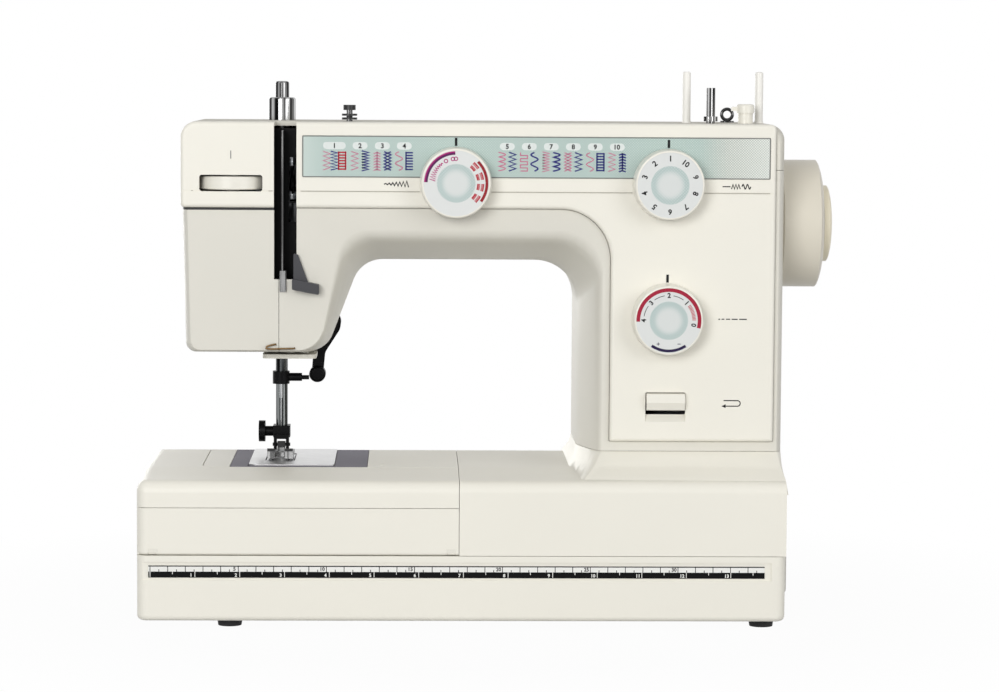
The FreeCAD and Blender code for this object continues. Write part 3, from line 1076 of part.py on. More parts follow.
def make_thread_path():
    """Thread channel, take-up lever and the guides on the thread's way."""
    wall = CHANNEL_WALL
    left, right = about(SLOT_X, SLOT_WIDTH + 2 * CHANNEL_ROOM)
    front = CASING_FRONT + WALL + GAP
    back = PANEL_FRONT + SLOT_DEPTH
    z = (SLOT_FOOT - 1.5, ARM_TOP - 4)
    outer = box((left - wall, right + wall), (front, back), z)
    channel = outer.cut(box((left, right), (front - 1, back - wall), (z[0] + wall, ARM_TOP + 9)))
    slit = box(about(TAKE_UP_X, 4), (back - 5, back + 5), (SHAFT_HEIGHT + 1, ARM_TOP - 25))
    keep("thread_channel", channel.cut(slit))
    y, pivot_z = TAKE_UP_PIVOT
    turn = math.radians(TAKE_UP_ANGLE)
    tip = (y - TAKE_UP_ARM * math.cos(turn), pivot_z + TAKE_UP_ARM * math.sin(turn))
    x = about(TAKE_UP_X, 1.6)
    hub = along_x(about(TAKE_UP_X, 4), y, pivot_z, 4.5)
    arm = box(x, (-TAKE_UP_ARM, 0), (-2.2, 2.2))
    arm.rotate(V(0, 0, 0), V(1, 0, 0), -TAKE_UP_ANGLE)
    arm.translate(V(0, y, pivot_z))
    eye = along_x(x, *tip, 3)
    lever = fuse(hub, arm, eye).cut(along_x((x[0] - 9, x[1] + 9), *tip, 1.3))
    keep("take_up_lever", lever.cut(along_x((x[0] - 9, x[1] + 9), y, pivot_z, 2.5 + RUN)))
    plate_x = (SLOT_X - 2.3, SLOT_X - 1.1)
    plate = box(plate_x, (CASING_FRONT + 1, back - wall), (SLOT_FOOT + 1, ARM_TOP - 5))
    tongue = box((plate_x[0] - 0.8, plate_x[1] + 1.6), (CASING_FRONT - 1.4, CASING_FRONT - 0.3),
                 (SLOT_FOOT - 7, SLOT_FOOT + 5))
    neck = box(plate_x, (CASING_FRONT - 1.4, CASING_FRONT + 2), (SLOT_FOOT + 1.2, SLOT_FOOT + 5))
    guides = [fuse(plate, tongue, neck)]
    rounds = []
    for low, high, radius in STUD_ROUNDS:
        rounds.append(upright(TENSION_STUD, (ARM_TOP + low, ARM_TOP + high), radius))
    guides.append(fuse(*rounds))
    gx, gy = WIRE_GUIDE
    seat = upright((gx, gy), (ARM_TOP, ARM_TOP + WIRE_RADIUS), WIRE_SEAT_RADIUS)
    loop_z = ARM_TOP + WIRE_LOOP_RADIUS + 1.5 * WIRE_RADIUS
    guides.append(fuse(seat, Part.makeTorus(WIRE_LOOP_RADIUS, WIRE_RADIUS, V(gx, gy, loop_z), V(0, 1, 0))))
    keep("thread_guides", Part.Compound(guides))
    fin_x = SLOT_X + SLOT_WIDTH / 2
    top = CASING_FRONT - GAP
    fin = [
        (fin_x - 1.7, SLOT_FOOT - 2, 0),
        (fin_x + 6.8, SLOT_FOOT - 2, 0),
        (fin_x + 0.8, SLOT_FOOT + 14.4, 0.6),
        (fin_x - 1.7, SLOT_FOOT + 15, 0.6),
    ]
    blade = prism(fin, "y", top - 2.4, top)
    sole = [
        (fin_x - 2.4, SLOT_FOOT - 5.5, 0.8),
        (fin_x + 13, SLOT_FOOT - 8.4, 0.8),
        (fin_x + 13, SLOT_FOOT - 2.5, 0.8),
        (fin_x - 2.4, SLOT_FOOT + 0.6, 0.8),
    ]
    foot = prism(sole, "y", top - 6.5, top)
    keep("check_spring_guide", fuse(blade, foot))


def make_top_items():
    """Pressure pin and collar, spool pins and bobbin winder."""
    place = (NEEDLE_X, PRESSER_Y)
    low = ARM_TOP - 8
    top = ARM_TOP + COLLAR_HEIGHT
    collar = upright(place, (low, top), COLLAR_RADIUS)
    collar = collar.makeFillet(1.5, edges_where(collar, at_level("z", top)))
    keep("pressure_collar", collar.cut(upright(place, (low - 1, top + 1), PIN_RADIUS + RUN)))
    pin = upright(place, (low - 4, ARM_TOP + PIN_RISE), PIN_RADIUS)
    keep("pressure_pin", pin.makeFillet(1.5, edges_where(pin, at_level("z", ARM_TOP + PIN_RISE))))
    for name, spot in zip(("left_spool_pin", "right_spool_pin"), SPOOL_PINS):
        pin = upright(spot, (ARM_TOP + 1, SPOOL_PIN_TOP), SPOOL_PIN_RADIUS)
        pin = pin.makeFillet(1.2, edges_where(pin, at_level("z", SPOOL_PIN_TOP)))
        keep(name, fuse(pin, upright(spot, (ARM_TOP - 8, ARM_TOP + 1), SPOOL_STEM_RADIUS)))
    x, y = WINDER
    spindle = upright(WINDER, (ARM_TOP - 20, ARM_TOP + SPINDLE_RISE), SPINDLE_RADIUS)
    flange = upright(WINDER, (ARM_TOP + 1.2, ARM_TOP + 4), SPINDLE_FLANGE_RADIUS)
    friction_wheel = upright(WINDER, (ARM_TOP - 20, ARM_TOP - 14), 12)
    keep("winder_spindle", fuse(spindle, flange, friction_wheel))
    carriage = box((x - 9, x + 9), about(y, 16), (ARM_TOP - WALL - 5.5, ARM_TOP - WALL - GAP))
    keep("winder_carriage", carriage.cut(upright(WINDER, (ARM_TOP - 30, ARM_TOP), SPINDLE_RADIUS + RUN)))
    stop_x, stop_y = WINDER_STOP
    neck = upright(WINDER_STOP, (ARM_TOP, ARM_TOP + 6.5), STOP_RADIUS)
    cap_top = ARM_TOP + 11.3
    cap = upright(WINDER_STOP, (ARM_TOP + 6, cap_top), STOP_CAP_RADIUS)
    cap = cap.makeFillet(1.6, edges_where(cap, at_level("z", cap_top)))
    lip = box((stop_x - STOP_LIP, stop_x), about(stop_y, STOP_RADIUS), (cap_top - 4, cap_top - 1.6))
    keep("winder_stop", fuse(neck, cap, lip))


# Right end and back

def make_ends():
    """Power socket plate with its switch, carrying handle and screws."""
    corners = [(y, z, 4) for y, z in zip(SOCKET_Y + SOCKET_Y[::-1], (SOCKET_Z[0],) * 2 + (SOCKET_Z[1],) * 2)]
    plate = prism(corners, "x", RIGHT, RIGHT + SOCKET_DEPTH)
    plate = plate.makeFillet(1.5, edges_where(plate, at_level("x", RIGHT + SOCKET_DEPTH)))
    plate = plate.cut(box((RIGHT + 1.5, RIGHT + 20), (-22, 8), (38, 60)))
    ry, rz = ROCKER
    plate = plate.cut(box((RIGHT + 1.5, RIGHT + 20), about(ry, 13), about(rz, 20)))
    pivot = rod((RIGHT + 5, ry - 7.5, rz), (RIGHT + 5, ry + 7.5, rz), 1)
    keep("socket_plate", fuse(plate, pivot))
    side = [
        (RIGHT + 4, rz - 8, 0.5),
        (RIGHT + 8.2, rz - 8.4, 0.5),
        (RIGHT + 7, rz, 2),
        (RIGHT + 8.2, rz + 8.4, 0.5),
        (RIGHT + 4, rz + 8, 0.5),
    ]
    rocker = prism(side, "y", *about(ry, 12))
    keep("power_switch", rocker.cut(rod((RIGHT + 5, ry - 9, rz), (RIGHT + 5, ry + 9, rz), 1 + RUN)))
    y, z = HANDLE_PIVOT
    cheeks = []
    for side in (-1, 1):
        arm_x = about(side * HANDLE_X, 5)
        arm = fuse(along_x(arm_x, y, z, 4.5), box(arm_x, (y - 3, y + 3), (z - HANDLE_DROP, z)))
        cheeks.append(arm)
    grip = along_x((-HANDLE_X - 2.5, HANDLE_X + 2.5), y, z - HANDLE_DROP, 4.5)
    handle = fuse(grip, *cheeks)
    for side in (-1, 1):
        handle = handle.cut(along_x(about(side * HANDLE_X, 9), y, z, 2 + RUN))
    keep("carry_handle", handle)
    ears = []
    for side in (-1, 1):
        x = side * (HANDLE_X + 5.5)
        ears.append(box(about(x, 4), (CASING_BACK - 1, y), (z - 5, z + 5)))
        ears.append(along_x(about(x, 4), y, z, 4.5))
        ears.append(along_x(sorted((x, side * (HANDLE_X - 2.5))), y, z, 2))
    PARTS["rear_cover"] = fuse(PARTS["rear_cover"], *ears)
    screws = []
    for x, z in ((-150, 225), (-40, 235), (75, 235), (150, 120), (75, 120)):
        screws.append(rod((x, CASING_BACK, z), (x, CASING_BACK + 1.6, z), SCREW_HEAD_RADIUS))
    keep("cover_screws", Part.Compound(screws))
    y, z = REVERSE_PIVOT
    ear_x = (REVERSE_X - REVERSE_WIDTH / 2 - 5, REVERSE_X + REVERSE_WIDTH / 2 + 5)
    ear = [along_x(ear_x, y, z, REVERSE_PIN_RADIUS)]
    for x in ear_x:
        ear.append(box(about(x, 4), (PANEL_FRONT + 3, y + 3), (z - 4, z + 4)))
    PARTS["front_panel"] = fuse(PARTS["front_panel"], *ear)


def main():
    """Builds every piece and writes one file for each."""
    make_covers()
    make_panel()
    make_controls()
    make_base()
    make_bed()
    make_table()
    make_frame()
    make_upper_shaft()
    make_drive()
    make_needle()
    make_presser()
    make_thread_path()
    make_top_items()
    make_ends()
    os.makedirs("parts", exist_ok=True)
    for name, shape in PARTS.items():
        shape.exportStep("parts/" + name + ".step")


main()
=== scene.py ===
"""Finishes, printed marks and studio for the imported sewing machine.

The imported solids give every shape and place. This script paints them, adds the
printed marks that the solids leave out, and sets the camera and the light.
Lengths in the classes are millimetres in the frame of the solids: X towards the
handwheel, the front towards -Y and Z up.
"""
import json
import logging
import math
from dataclasses import dataclass, field
from enum import Enum
from typing import Any, Optional, Protocol, Sequence, Union

import bpy
import numpy as np
from mathutils import Matrix, Vector

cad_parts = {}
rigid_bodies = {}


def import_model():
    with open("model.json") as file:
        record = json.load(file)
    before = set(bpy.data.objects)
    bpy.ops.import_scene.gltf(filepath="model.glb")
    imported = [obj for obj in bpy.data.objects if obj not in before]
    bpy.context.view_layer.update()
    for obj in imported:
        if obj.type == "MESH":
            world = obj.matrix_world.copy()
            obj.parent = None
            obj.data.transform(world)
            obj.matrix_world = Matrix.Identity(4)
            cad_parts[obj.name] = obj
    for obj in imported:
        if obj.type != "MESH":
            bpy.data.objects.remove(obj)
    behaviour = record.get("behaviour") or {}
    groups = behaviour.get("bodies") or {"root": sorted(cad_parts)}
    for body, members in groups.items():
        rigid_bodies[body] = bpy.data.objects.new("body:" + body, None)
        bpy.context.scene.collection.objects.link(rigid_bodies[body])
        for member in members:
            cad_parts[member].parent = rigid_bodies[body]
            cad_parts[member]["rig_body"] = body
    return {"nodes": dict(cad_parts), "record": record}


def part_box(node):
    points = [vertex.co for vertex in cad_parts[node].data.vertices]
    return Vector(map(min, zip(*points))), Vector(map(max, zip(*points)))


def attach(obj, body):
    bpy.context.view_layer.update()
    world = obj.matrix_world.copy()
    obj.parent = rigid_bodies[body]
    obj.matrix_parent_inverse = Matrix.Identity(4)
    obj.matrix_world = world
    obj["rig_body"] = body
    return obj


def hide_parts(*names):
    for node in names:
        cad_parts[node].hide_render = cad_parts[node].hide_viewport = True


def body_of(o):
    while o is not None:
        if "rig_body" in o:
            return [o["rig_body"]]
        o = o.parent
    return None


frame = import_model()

LOG = logging.getLogger("sewing_machine")
MM = 0.001
Colour = tuple[float, float, float]
Point = tuple[float, float]


def screen(red: int, green: int, blue: int) -> Colour:
    """Linear colour of a screen colour given from 0 to 255."""
    return tuple(((c / 255 + 0.055) / 1.055) ** 2.4 for c in (red, green, blue))


def grey(level: int) -> Colour:
    """A plain grey as a screen shows it."""
    return screen(level, level, level)


def shaded(colour: Colour, share: float) -> Colour:
    """The colour with each channel multiplied by the share."""
    return tuple(channel * share for channel in colour)


def plug(tree: bpy.types.NodeTree, entry: bpy.types.NodeSocket, value: Any) -> None:
    """Links or sets one entry of a node.

    Args:
        tree: the node tree that holds the entry.
        entry: the input socket.
        value: a Wire, an output socket, a number, a colour or a vector.
    """
    if isinstance(value, Wire):
        value = value.socket
    if isinstance(value, bpy.types.NodeSocket):
        tree.links.new(value, entry)
    elif entry.type == "RGBA":
        entry.default_value = (*value[:3], 1.0)
    else:
        entry.default_value = value


class Wire:
    """A shader value that adds a Math node whenever it is calculated with."""

    def __init__(self, tree: bpy.types.NodeTree, socket: bpy.types.NodeSocket) -> None:
        """Keeps the tree and the output socket that carries the value."""
        self.tree = tree
        self.socket = socket

    def maths(self, operation: str, *values: "Number") -> "Wire":
        """Adds one Math node.

        Args:
            operation: the node's operation.
            values: its inputs in order.

        Returns:
            The node's result.
        """
        node = self.tree.nodes.new("ShaderNodeMath")
        node.operation = operation
        for entry, value in zip(node.inputs, values):
            plug(self.tree, entry, value)
        return Wire(self.tree, node.outputs[0])

    def __add__(self, other: "Number") -> "Wire":
        """Sum."""
        return self.maths("ADD", self, other)

    def __sub__(self, other: "Number") -> "Wire":
        """Difference."""
        return self.maths("SUBTRACT", self, other)

    def __rsub__(self, other: "Number") -> "Wire":
        """Difference with the value taken away."""
        return self.maths("SUBTRACT", other, self)

    def __mul__(self, other: "Number") -> "Wire":
        """Product."""
        return self.maths("MULTIPLY", self, other)

    def __lt__(self, other: "Number") -> "Wire":
        """1 where the value is below the other."""
        return self.maths("LESS_THAN", self, other)

    def __gt__(self, other: "Number") -> "Wire":
        """1 where the value is above the other."""
        return self.maths("GREATER_THAN", self, other)

    __radd__ = __add__
    __rmul__ = __mul__

    def fraction(self) -> "Wire":
        """The part after the point, from 0 to 1."""
        return self.maths("FRACT", self)

    def root(self) -> "Wire":
        """Square root."""
        return self.maths("SQRT", self)

    def at_most(self, other: "Number") -> "Wire":
        """The lower of the two."""
        return self.maths("MINIMUM", self, other)

    def ramp(self, low: float, high: float) -> "Wire":
        """Straight rise from 0 to 1, level on both sides of it.

        Args:
            low: where it is 0.
            high: where it is 1.

        Returns:
            The value from 0 to 1.
        """
        rise = (self - low) * (1.0 / (high - low))
        rise.socket.node.use_clamp = True
        return rise


Number = Union[Wire, float]


class Paint:
    """One procedural material, worked out from the place on the piece."""

    def __init__(self, name: str) -> None:
        """Makes an empty node material.

        Args:
            name: the material's name.
        """
        self.material = bpy.data.materials.new(name)
        self.material.use_nodes = True
        self.tree = self.material.node_tree
        self.tree.nodes.clear()
        self.coords = self.node("TexCoord").outputs["Object"]

    def node(self, kind: str, settings: Optional[dict[str, Any]] = None,
             entries: Optional[dict[Any, Any]] = None) -> bpy.types.Node:
        """Adds any node that isn't plain arithmetic.

        Args:
            kind: the node's type without its ShaderNode prefix.
            settings: its attributes, set first.
            entries: values or links of its inputs, by name or number.

        Returns:
            The new node.
        """
        node = self.tree.nodes.new("ShaderNode" + kind)
        for name, value in (settings or {}).items():
            setattr(node, name, value)
        for name, value in (entries or {}).items():
            plug(self.tree, node.inputs[name], value)
        return node

    def wire(self, socket: bpy.types.NodeSocket) -> Wire:
        """An output socket as a value to calculate with."""
        return Wire(self.tree, socket)

    def place(self) -> tuple[Wire, ...]:
        """Place of the shaded point in the frame of its piece.

        Returns:
            X, Y and Z in millimetres.
        """
        scaled = self.node("VectorMath", {"operation": "SCALE"}, {0: self.coords, "Scale": 1 / MM})
        split = self.node("SeparateXYZ", entries={0: scaled.outputs[0]})
        return tuple(self.wire(out) for out in split.outputs)

    def level(self) -> Wire:
        """Mask of the faces that lie flat, from the square of the normal's Z.

        Returns:
            1 on flat faces of the piece, 0 on upright ones.
        """
        split = self.node("SeparateXYZ", entries={0: self.node("TexCoord").outputs["Normal"]})
        upward = self.wire(split.outputs[2])
        return (upward * upward).ramp(0.3, 0.7)

    def noise(self, size: float, detail: float = 2.0, stretch: Sequence[float] = (1, 1, 1)) -> Wire:
        """Soft noise around one half.

        Args:
            size: width of its blobs in millimetres.
            detail: how many finer octaves it has.
            stretch: how many times longer the blobs are along X, Y and Z.

        Returns:
            The noise from 0 to 1.
        """
        scale = [1 / (MM * size * along) for along in stretch]
        spread = self.node("Mapping", entries={"Vector": self.coords, "Scale": scale})
        entries = {"Vector": spread.outputs[0], "Scale": 1.0, "Detail": detail}
        return self.wire(self.node("TexNoise", entries=entries).outputs[0])

    def mix(self, share: Number, first: Any, second: Any) -> bpy.types.NodeSocket:
        """First colour at share 0, second at share 1."""
        node = self.node("Mix", {"data_type": "RGBA"}, {0: share, 6: first, 7: second})
        return node.outputs[2]

    def shades(self, mask: Number, colour: Colour, share: float) -> bpy.types.NodeSocket:
        """The colour where the mask is 0, and its darker shade where it is 1."""
        return self.mix(mask, colour, shaded(colour, share))

    def bump(self, height: Wire, depth: float) -> bpy.types.NodeSocket:
        """Normal of a surface that rises by the depth in millimetres where the height is 1."""
        node = self.node("Bump", entries={"Height": height, "Distance": depth * MM})
        return node.outputs[0]

    def surface(self, entries: dict[str, Any]) -> bpy.types.Material:
        """Closes the material with one Principled shader.

        Args:
            entries: the shader's entries by name.

        Returns:
            The material.
        """
        shader = self.node("BsdfPrincipled", entries=entries)
        self.node("OutputMaterial", entries={"Surface": shader.outputs[0]})
        return self.material


class Finish(Protocol):
    """Anything that can be made a material."""

    def material(self) -> bpy.types.Material:
        """A new material of the finish."""


@dataclass(frozen=True)
class MouldedPlastic:
    """Moulded plastic with a fine eroded grain and slow drifts of shade."""

    name: str
    colour: Colour
    roughness: float = 0.4
    grain: float = 0.45
    depth: float = 0.006
    gloss: float = 0.0
    shine: float = 0.4

    def tint(self, paint: Paint, mottle: Wire) -> bpy.types.NodeSocket:
        """Colour of the plastic, between two shades."""
        return paint.shades(mottle, self.colour, 0.93)

    def material(self) -> bpy.types.Material:
        """Works the finish out.

        Returns:
            Its material.
        """
        paint = Paint(self.name)
        drift = paint.noise(70.0)
        grain = paint.noise(self.grain, 1.0)
        return paint.surface({
            "Base Color": self.tint(paint, drift * 0.6 + grain * 0.25),
            "Roughness": self.roughness + (drift - 0.5) * 0.12 + (grain - 0.5) * 0.1,
            "Normal": paint.bump(grain, self.depth),
            "Specular IOR Level": self.shine,
            "Coat Weight": self.gloss,
            "Coat Roughness": 0.12,
        })


@dataclass(frozen=True)
class EdgedPlastic(MouldedPlastic):
    """Moulded plastic that is nearly black above one level: painted shadow of the gap in the joint
    above it.
    """

    edge: float = 0.0

    def tint(self, paint: Paint, mottle: Wire) -> bpy.types.NodeSocket:
        """Colour of the plastic, with the painted shadow above the level."""
        _, _, z = paint.place()
        # Near black above the level is painted shadow, standing for the shade in the gap under the
        # head panel.
        return paint.mix(z > self.edge, super().tint(paint, mottle), grey(14))


@dataclass(frozen=True)
class StreakedSteel:
    """Polished bar steel with painted reflections: dark and light lines along its height."""

    name: str
    dark: Colour
    bright: Colour
    size: float = 1.3
    roughness: float = 0.18

    def entries(self, paint: Paint) -> dict[str, Any]:
        """Works out the painted reflection lines, which are left out on flat faces.

        Args:
            paint: the material that they belong to.

        Returns:
            The shader's entries by name.
        """
        level = paint.level()
        # Dark and light lines along the height are painted reflections of the surroundings in the
        # polished steel.
        reflection_streaks = paint.noise(self.size, 1.0, (1.0, 1.0, 90.0)).ramp(0.44, 0.6)
        lines = reflection_streaks * (1.0 - level) + level * 0.7
        smudge = paint.noise(5.0, 3.0)
        return {
            "Base Color": paint.mix(lines, self.dark, self.bright),
            "Metallic": 1.0,
            "Roughness": self.roughness + smudge * 0.1,
            "Normal": paint.bump(lines, 0.003),
        }

    def material(self) -> bpy.types.Material:
        """Builds the finish."""
        paint = Paint(self.name)
        return paint.surface(self.entries(paint))


@dataclass(frozen=True)
class BlackedSteel(StreakedSteel):
    """Steel with painted reflection lines that is black between two levels, with or without a bare
    band there.
    """

    black: Point = (0.0, 0.0)
    bare: Optional[Point] = None

    def entries(self, paint: Paint) -> dict[str, Any]:
        """Lays the black over the painted reflection lines.

        Args:
            paint: the material that they belong to.

        Returns:
            The shader's entries by name.
        """
        _, _, z = paint.place()
        black = (z > self.black[0]) * (z < self.black[1])
        if self.bare:
            black = black * (1.0 - (z > self.bare[0]) * (z < self.bare[1]))
        steel = super().entries(paint)
        return {
            **steel,
            "Base Color": paint.mix(black, steel["Base Color"], screen(16, 16, 18)),
            "Metallic": 1.0 - black * 0.9,
            "Roughness": steel["Roughness"] + black * 0.15,
        }


@dataclass(frozen=True)
class WorkedMetal:
    """Bare metal with fine marks left along one direction by its working."""

    name: str
    colour: Colour
    roughness: float
    stretch: tuple[float, float, float] = (1.0, 1.0, 1.0)
    mark: float = 0.3
    depth: float = 0.004

    def material(self) -> bpy.types.Material:
        """Works the finish out.

        Returns:
            Its material.
        """
        paint = Paint(self.name)
        marks = paint.noise(self.mark, 3.0, self.stretch)
        smudge = paint.noise(9.0, 3.0)
        return paint.surface({
            "Base Color": paint.shades(marks * 0.5 + smudge * 0.4, self.colour, 0.72),
            "Metallic": 1.0,
            "Roughness": self.roughness + (marks - 0.5) * 0.15 + (smudge - 0.5) * 0.12,
            "Normal": paint.bump(marks, self.depth),
        })


@dataclass(frozen=True)
class CoarseSkin:
    """Cast, rubber or painted skin with pores."""

    name: str
    colour: Colour
    roughness: float
    metallic: float = 0.0
    pore: float = 1.1
    depth: float = 0.05

    def material(self) -> bpy.types.Material:
        """Works the finish out.

        Returns:
            Its material.
        """
        paint = Paint(self.name)
        pores = paint.noise(self.pore, 4.0)
        dust = paint.noise(16.0, 3.0)
        return paint.surface({
            "Base Color": paint.shades(pores * 0.5 + dust * 0.5, self.colour, 0.68),
            "Metallic": self.metallic,
            "Roughness": self.roughness + (dust - 0.5) * 0.2,
            "Normal": paint.bump(pores, self.depth),
        })


@dataclass(frozen=True)
class FrostedGlass:
    """Lamp glass, frosted, with a faint warm tint."""

    name: str
    colour: Colour

    def material(self) -> bpy.types.Material:
        """Works the finish out.

        Returns:
            Its material.
        """
        paint = Paint(self.name)
        frost = paint.noise(0.5, 2.0)
        return paint.surface({
            "Base Color": paint.shades(frost, self.colour, 0.9),
            "Roughness": 0.35 + frost * 0.2,
            "Transmission Weight": 0.7,
        })


@dataclass(frozen=True)
class Halftone:
    """Rows of dots turned by an eighth of a turn."""

    pitch: float = 1.5

    def mask(self, across: Wire, up: Wire, size: Number) -> Wire:
        """1 inside the dots.

        Args:
            across: first place in millimetres.
            up: second place in millimetres.
            size: radius of a dot as a share of the pitch.

        Returns:
            The mask, soft over a sixth of the pitch.
        """
        first = ((across + up) * (1 / self.pitch)).fraction() - 0.5
        second = ((across - up) * (1 / self.pitch)).fraction() - 0.5
        distance = (first * first + second * second).root()
        return (size - distance).ramp(-0.08, 0.08)


@dataclass(frozen=True)
class PrintedStrip:
    """Pale blue printed strip with white halftone dots that grow towards both ends."""

    name: str
    colour: Colour
    dots: Colour
    end: Colour
    left: float
    right: float
    turn: float

    def material(self) -> bpy.types.Material:
        """Works the finish out.

        Returns:
            Its material.
        """
        paint = Paint(self.name)
        x, _, z = paint.place()
        ends = (x - self.left).ramp(14.0, 0.0) + (x - self.turn).ramp(0.0, self.right - self.turn)
        dots = Halftone().mask(x, z, 0.27 + ends * 0.2)
        turned = (x - self.turn).ramp(-4.0, 14.0)
        ground = paint.mix(turned, self.colour, self.end)
        grain = paint.noise(0.6, 1.0)
        return paint.surface({
            "Base Color": paint.mix(dots * (0.5 + turned * 0.45), ground, self.dots),
            "Roughness": 0.3 + grain * 0.08,
            "Normal": paint.bump(grain, 0.003),
            "Coat Weight": 0.15,
            "Coat Roughness": 0.15,
        })


@dataclass(frozen=True)
class DialSkin:
    """Cream dial whose front face is pale and holds a dotted blue disc with a light core."""

    name: str
    colour: Colour
    face: Colour
    disc: Colour
    middle: Point
    front: float
    face_radius: float
    disc_radius: float

    def material(self) -> bpy.types.Material:
        """Works the finish out.

        Returns:
            Its material.
        """
        paint = Paint(self.name)
        x, y, z = paint.place()
        across, up = x - self.middle[0], z - self.middle[1]
        radius = (across * across + up * up).root()
        on_face = (y < self.front + 0.45) * (radius < self.face_radius)
        inward = (radius - self.disc_radius * 0.5).ramp(self.disc_radius * 0.3, 0.0)
        dots = Halftone(1.7).mask(x, z, 0.3 + inward * 0.3)
        disc = (radius - self.disc_radius).ramp(0.25, -0.25)
        tint = disc * (1.0 - dots * 0.6) * (1.0 - inward * 0.7)
        drift = paint.noise(40.0)
        cream = paint.shades(drift, self.colour, 0.95)
        printed = paint.mix(tint, self.face, self.disc)
        grain = paint.noise(0.5, 1.0)
        return paint.surface({
            "Base Color": paint.mix(on_face, cream, printed),
            "Roughness": 0.3 + grain * 0.1,
            "Normal": paint.bump(grain, 0.004),
            "Coat Weight": 0.25,
            "Coat Roughness": 0.12,
        })


@dataclass(frozen=True)
class RulerSkin:
    """Tape with a white upper row, a black lower row and a dark line along its top."""

    name: str
    white: Colour
    black: Colour
    middle: float
    top: float

    def material(self) -> bpy.types.Material:
        """Works the finish out.

        Returns:
            Its material.
        """
        paint = Paint(self.name)
        _, _, z = paint.place()
        dark = (z < self.middle) + (z > self.top)
        grain = paint.noise(0.7, 2.0)
        white = paint.shades(grain, self.white, 0.92)
        return paint.surface({
            "Base Color": paint.mix(dark, white, self.black),
            "Roughness": 0.38 + grain * 0.12,
            "Normal": paint.bump(grain, 0.003),
            "Specular IOR Level": 0.08,
        })


class Ink(Enum):
    """Printing inks by their linear colours."""

    BLACK = screen(14, 14, 17)
    WHITE = screen(246, 246, 242)
    PINK = screen(200, 104, 140)
    BLUE = screen(46, 46, 122)
    INDIGO = screen(38, 28, 66)
    RED = screen(190, 44, 62)
    CRIMSON = screen(166, 36, 60)
    MAGENTA = screen(178, 36, 120)
    PURPLE = screen(92, 26, 84)
    MAROON = screen(150, 36, 44)
    GREY = screen(120, 120, 118)
    # A little darker than the cream: painted shade along a moulded step, not an ink.
    SEAM = screen(186, 182, 170)
    CREAM = screen(236, 233, 222)
    LABEL = screen(226, 232, 229)

    def material(self) -> bpy.types.Material:
        """The ink as a thin satin film with a little mottle, made once.

        Returns:
            Its material.
        """
        name = "ink_" + self.name.lower()
        if name not in bpy.data.materials:
            paint = Paint(name)
            mottle = paint.noise(0.8, 2.0)
            paint.surface({
                "Base Color": paint.shades(mottle, self.value, 0.86),
                "Roughness": 0.36 + mottle * 0.14,
                "Specular IOR Level": 0.2,
            })
        return bpy.data.materials[name]


def linked(name: str, data: Any) -> bpy.types.Object:
    """Puts a new object into the scene.

    Args:
        name: the object's name.
        data: its mesh, camera or light.

    Returns:
        The object.
    """
    made = bpy.data.objects.new(name, data)
    bpy.context.scene.collection.objects.link(made)
    return made


def vertices(mesh: bpy.types.Mesh) -> np.ndarray:
    """Reads the points of a mesh.

    Args:
        mesh: the mesh.

    Returns:
        One row of X, Y and Z for each point.
    """
    places = np.empty(len(mesh.vertices) * 3)
    mesh.vertices.foreach_get("co", places)
    return places.reshape(-1, 3)


def clock(middle: Point, radius: Union[float, np.ndarray], start: float, stop: float,
          count: int = 33) -> np.ndarray:
    """Points along a circle, by clock angles.

    A point at clock angle a lies at the middle plus the radius times (sin a, cos a).

    Args:
        middle: across and up place of the circle's middle.
        radius: the circle's radius, or a column with one radius for each point.
        start: first angle in degrees from twelve o'clock, clockwise.
        stop: last angle.
        count: number of points.

    Returns:
        An array of count rows.
    """
    angles = np.radians(np.linspace(start, stop, count))
    return np.asarray(middle) + np.column_stack([np.sin(angles), np.cos(angles)]) * radius


def spot(middle: Point, radius: float, angle: float) -> np.ndarray:
    """The one point of a circle at a clock angle."""
    return clock(middle, radius, angle, angle, 1)[0]


def zigzag(middle: Point, width: float, height: float, turns: int) -> np.ndarray:
    """Points that step up evenly and swing by half the width to each side in turn.

    Args:
        middle: across and up place of the line's middle.
        width: its width.
        height: its height.
        turns: number of its runs.

    Returns:
        An array of one row more than there are runs.
    """
    step = np.arange(turns + 1)
    across = middle[0] + width / 2 * np.where(step % 2, 1.0, -1.0)
    return np.column_stack([across, middle[1] + height * (step / turns - 0.5)])


def wave(middle: Point, width: float, height: float, turns: float,
         fold: bool = False) -> np.ndarray:
    """Points along an upright sine line.

    Args:
        middle: across and up place of the line's middle.
        width: its width.
        height: its height.
        turns: number of its swings.
        fold: whether the swings fold to one side, as scallops do.

    Returns:
        An array of points from the bottom up.
    """
    step = np.linspace(0.0, 1.0, 41)
    swing = np.sin(step * turns * math.pi)
    swing = np.abs(swing) * 2 - 1 if fold else swing
    return np.column_stack([middle[0] + width / 2 * swing, middle[1] + height * (step - 0.5)])


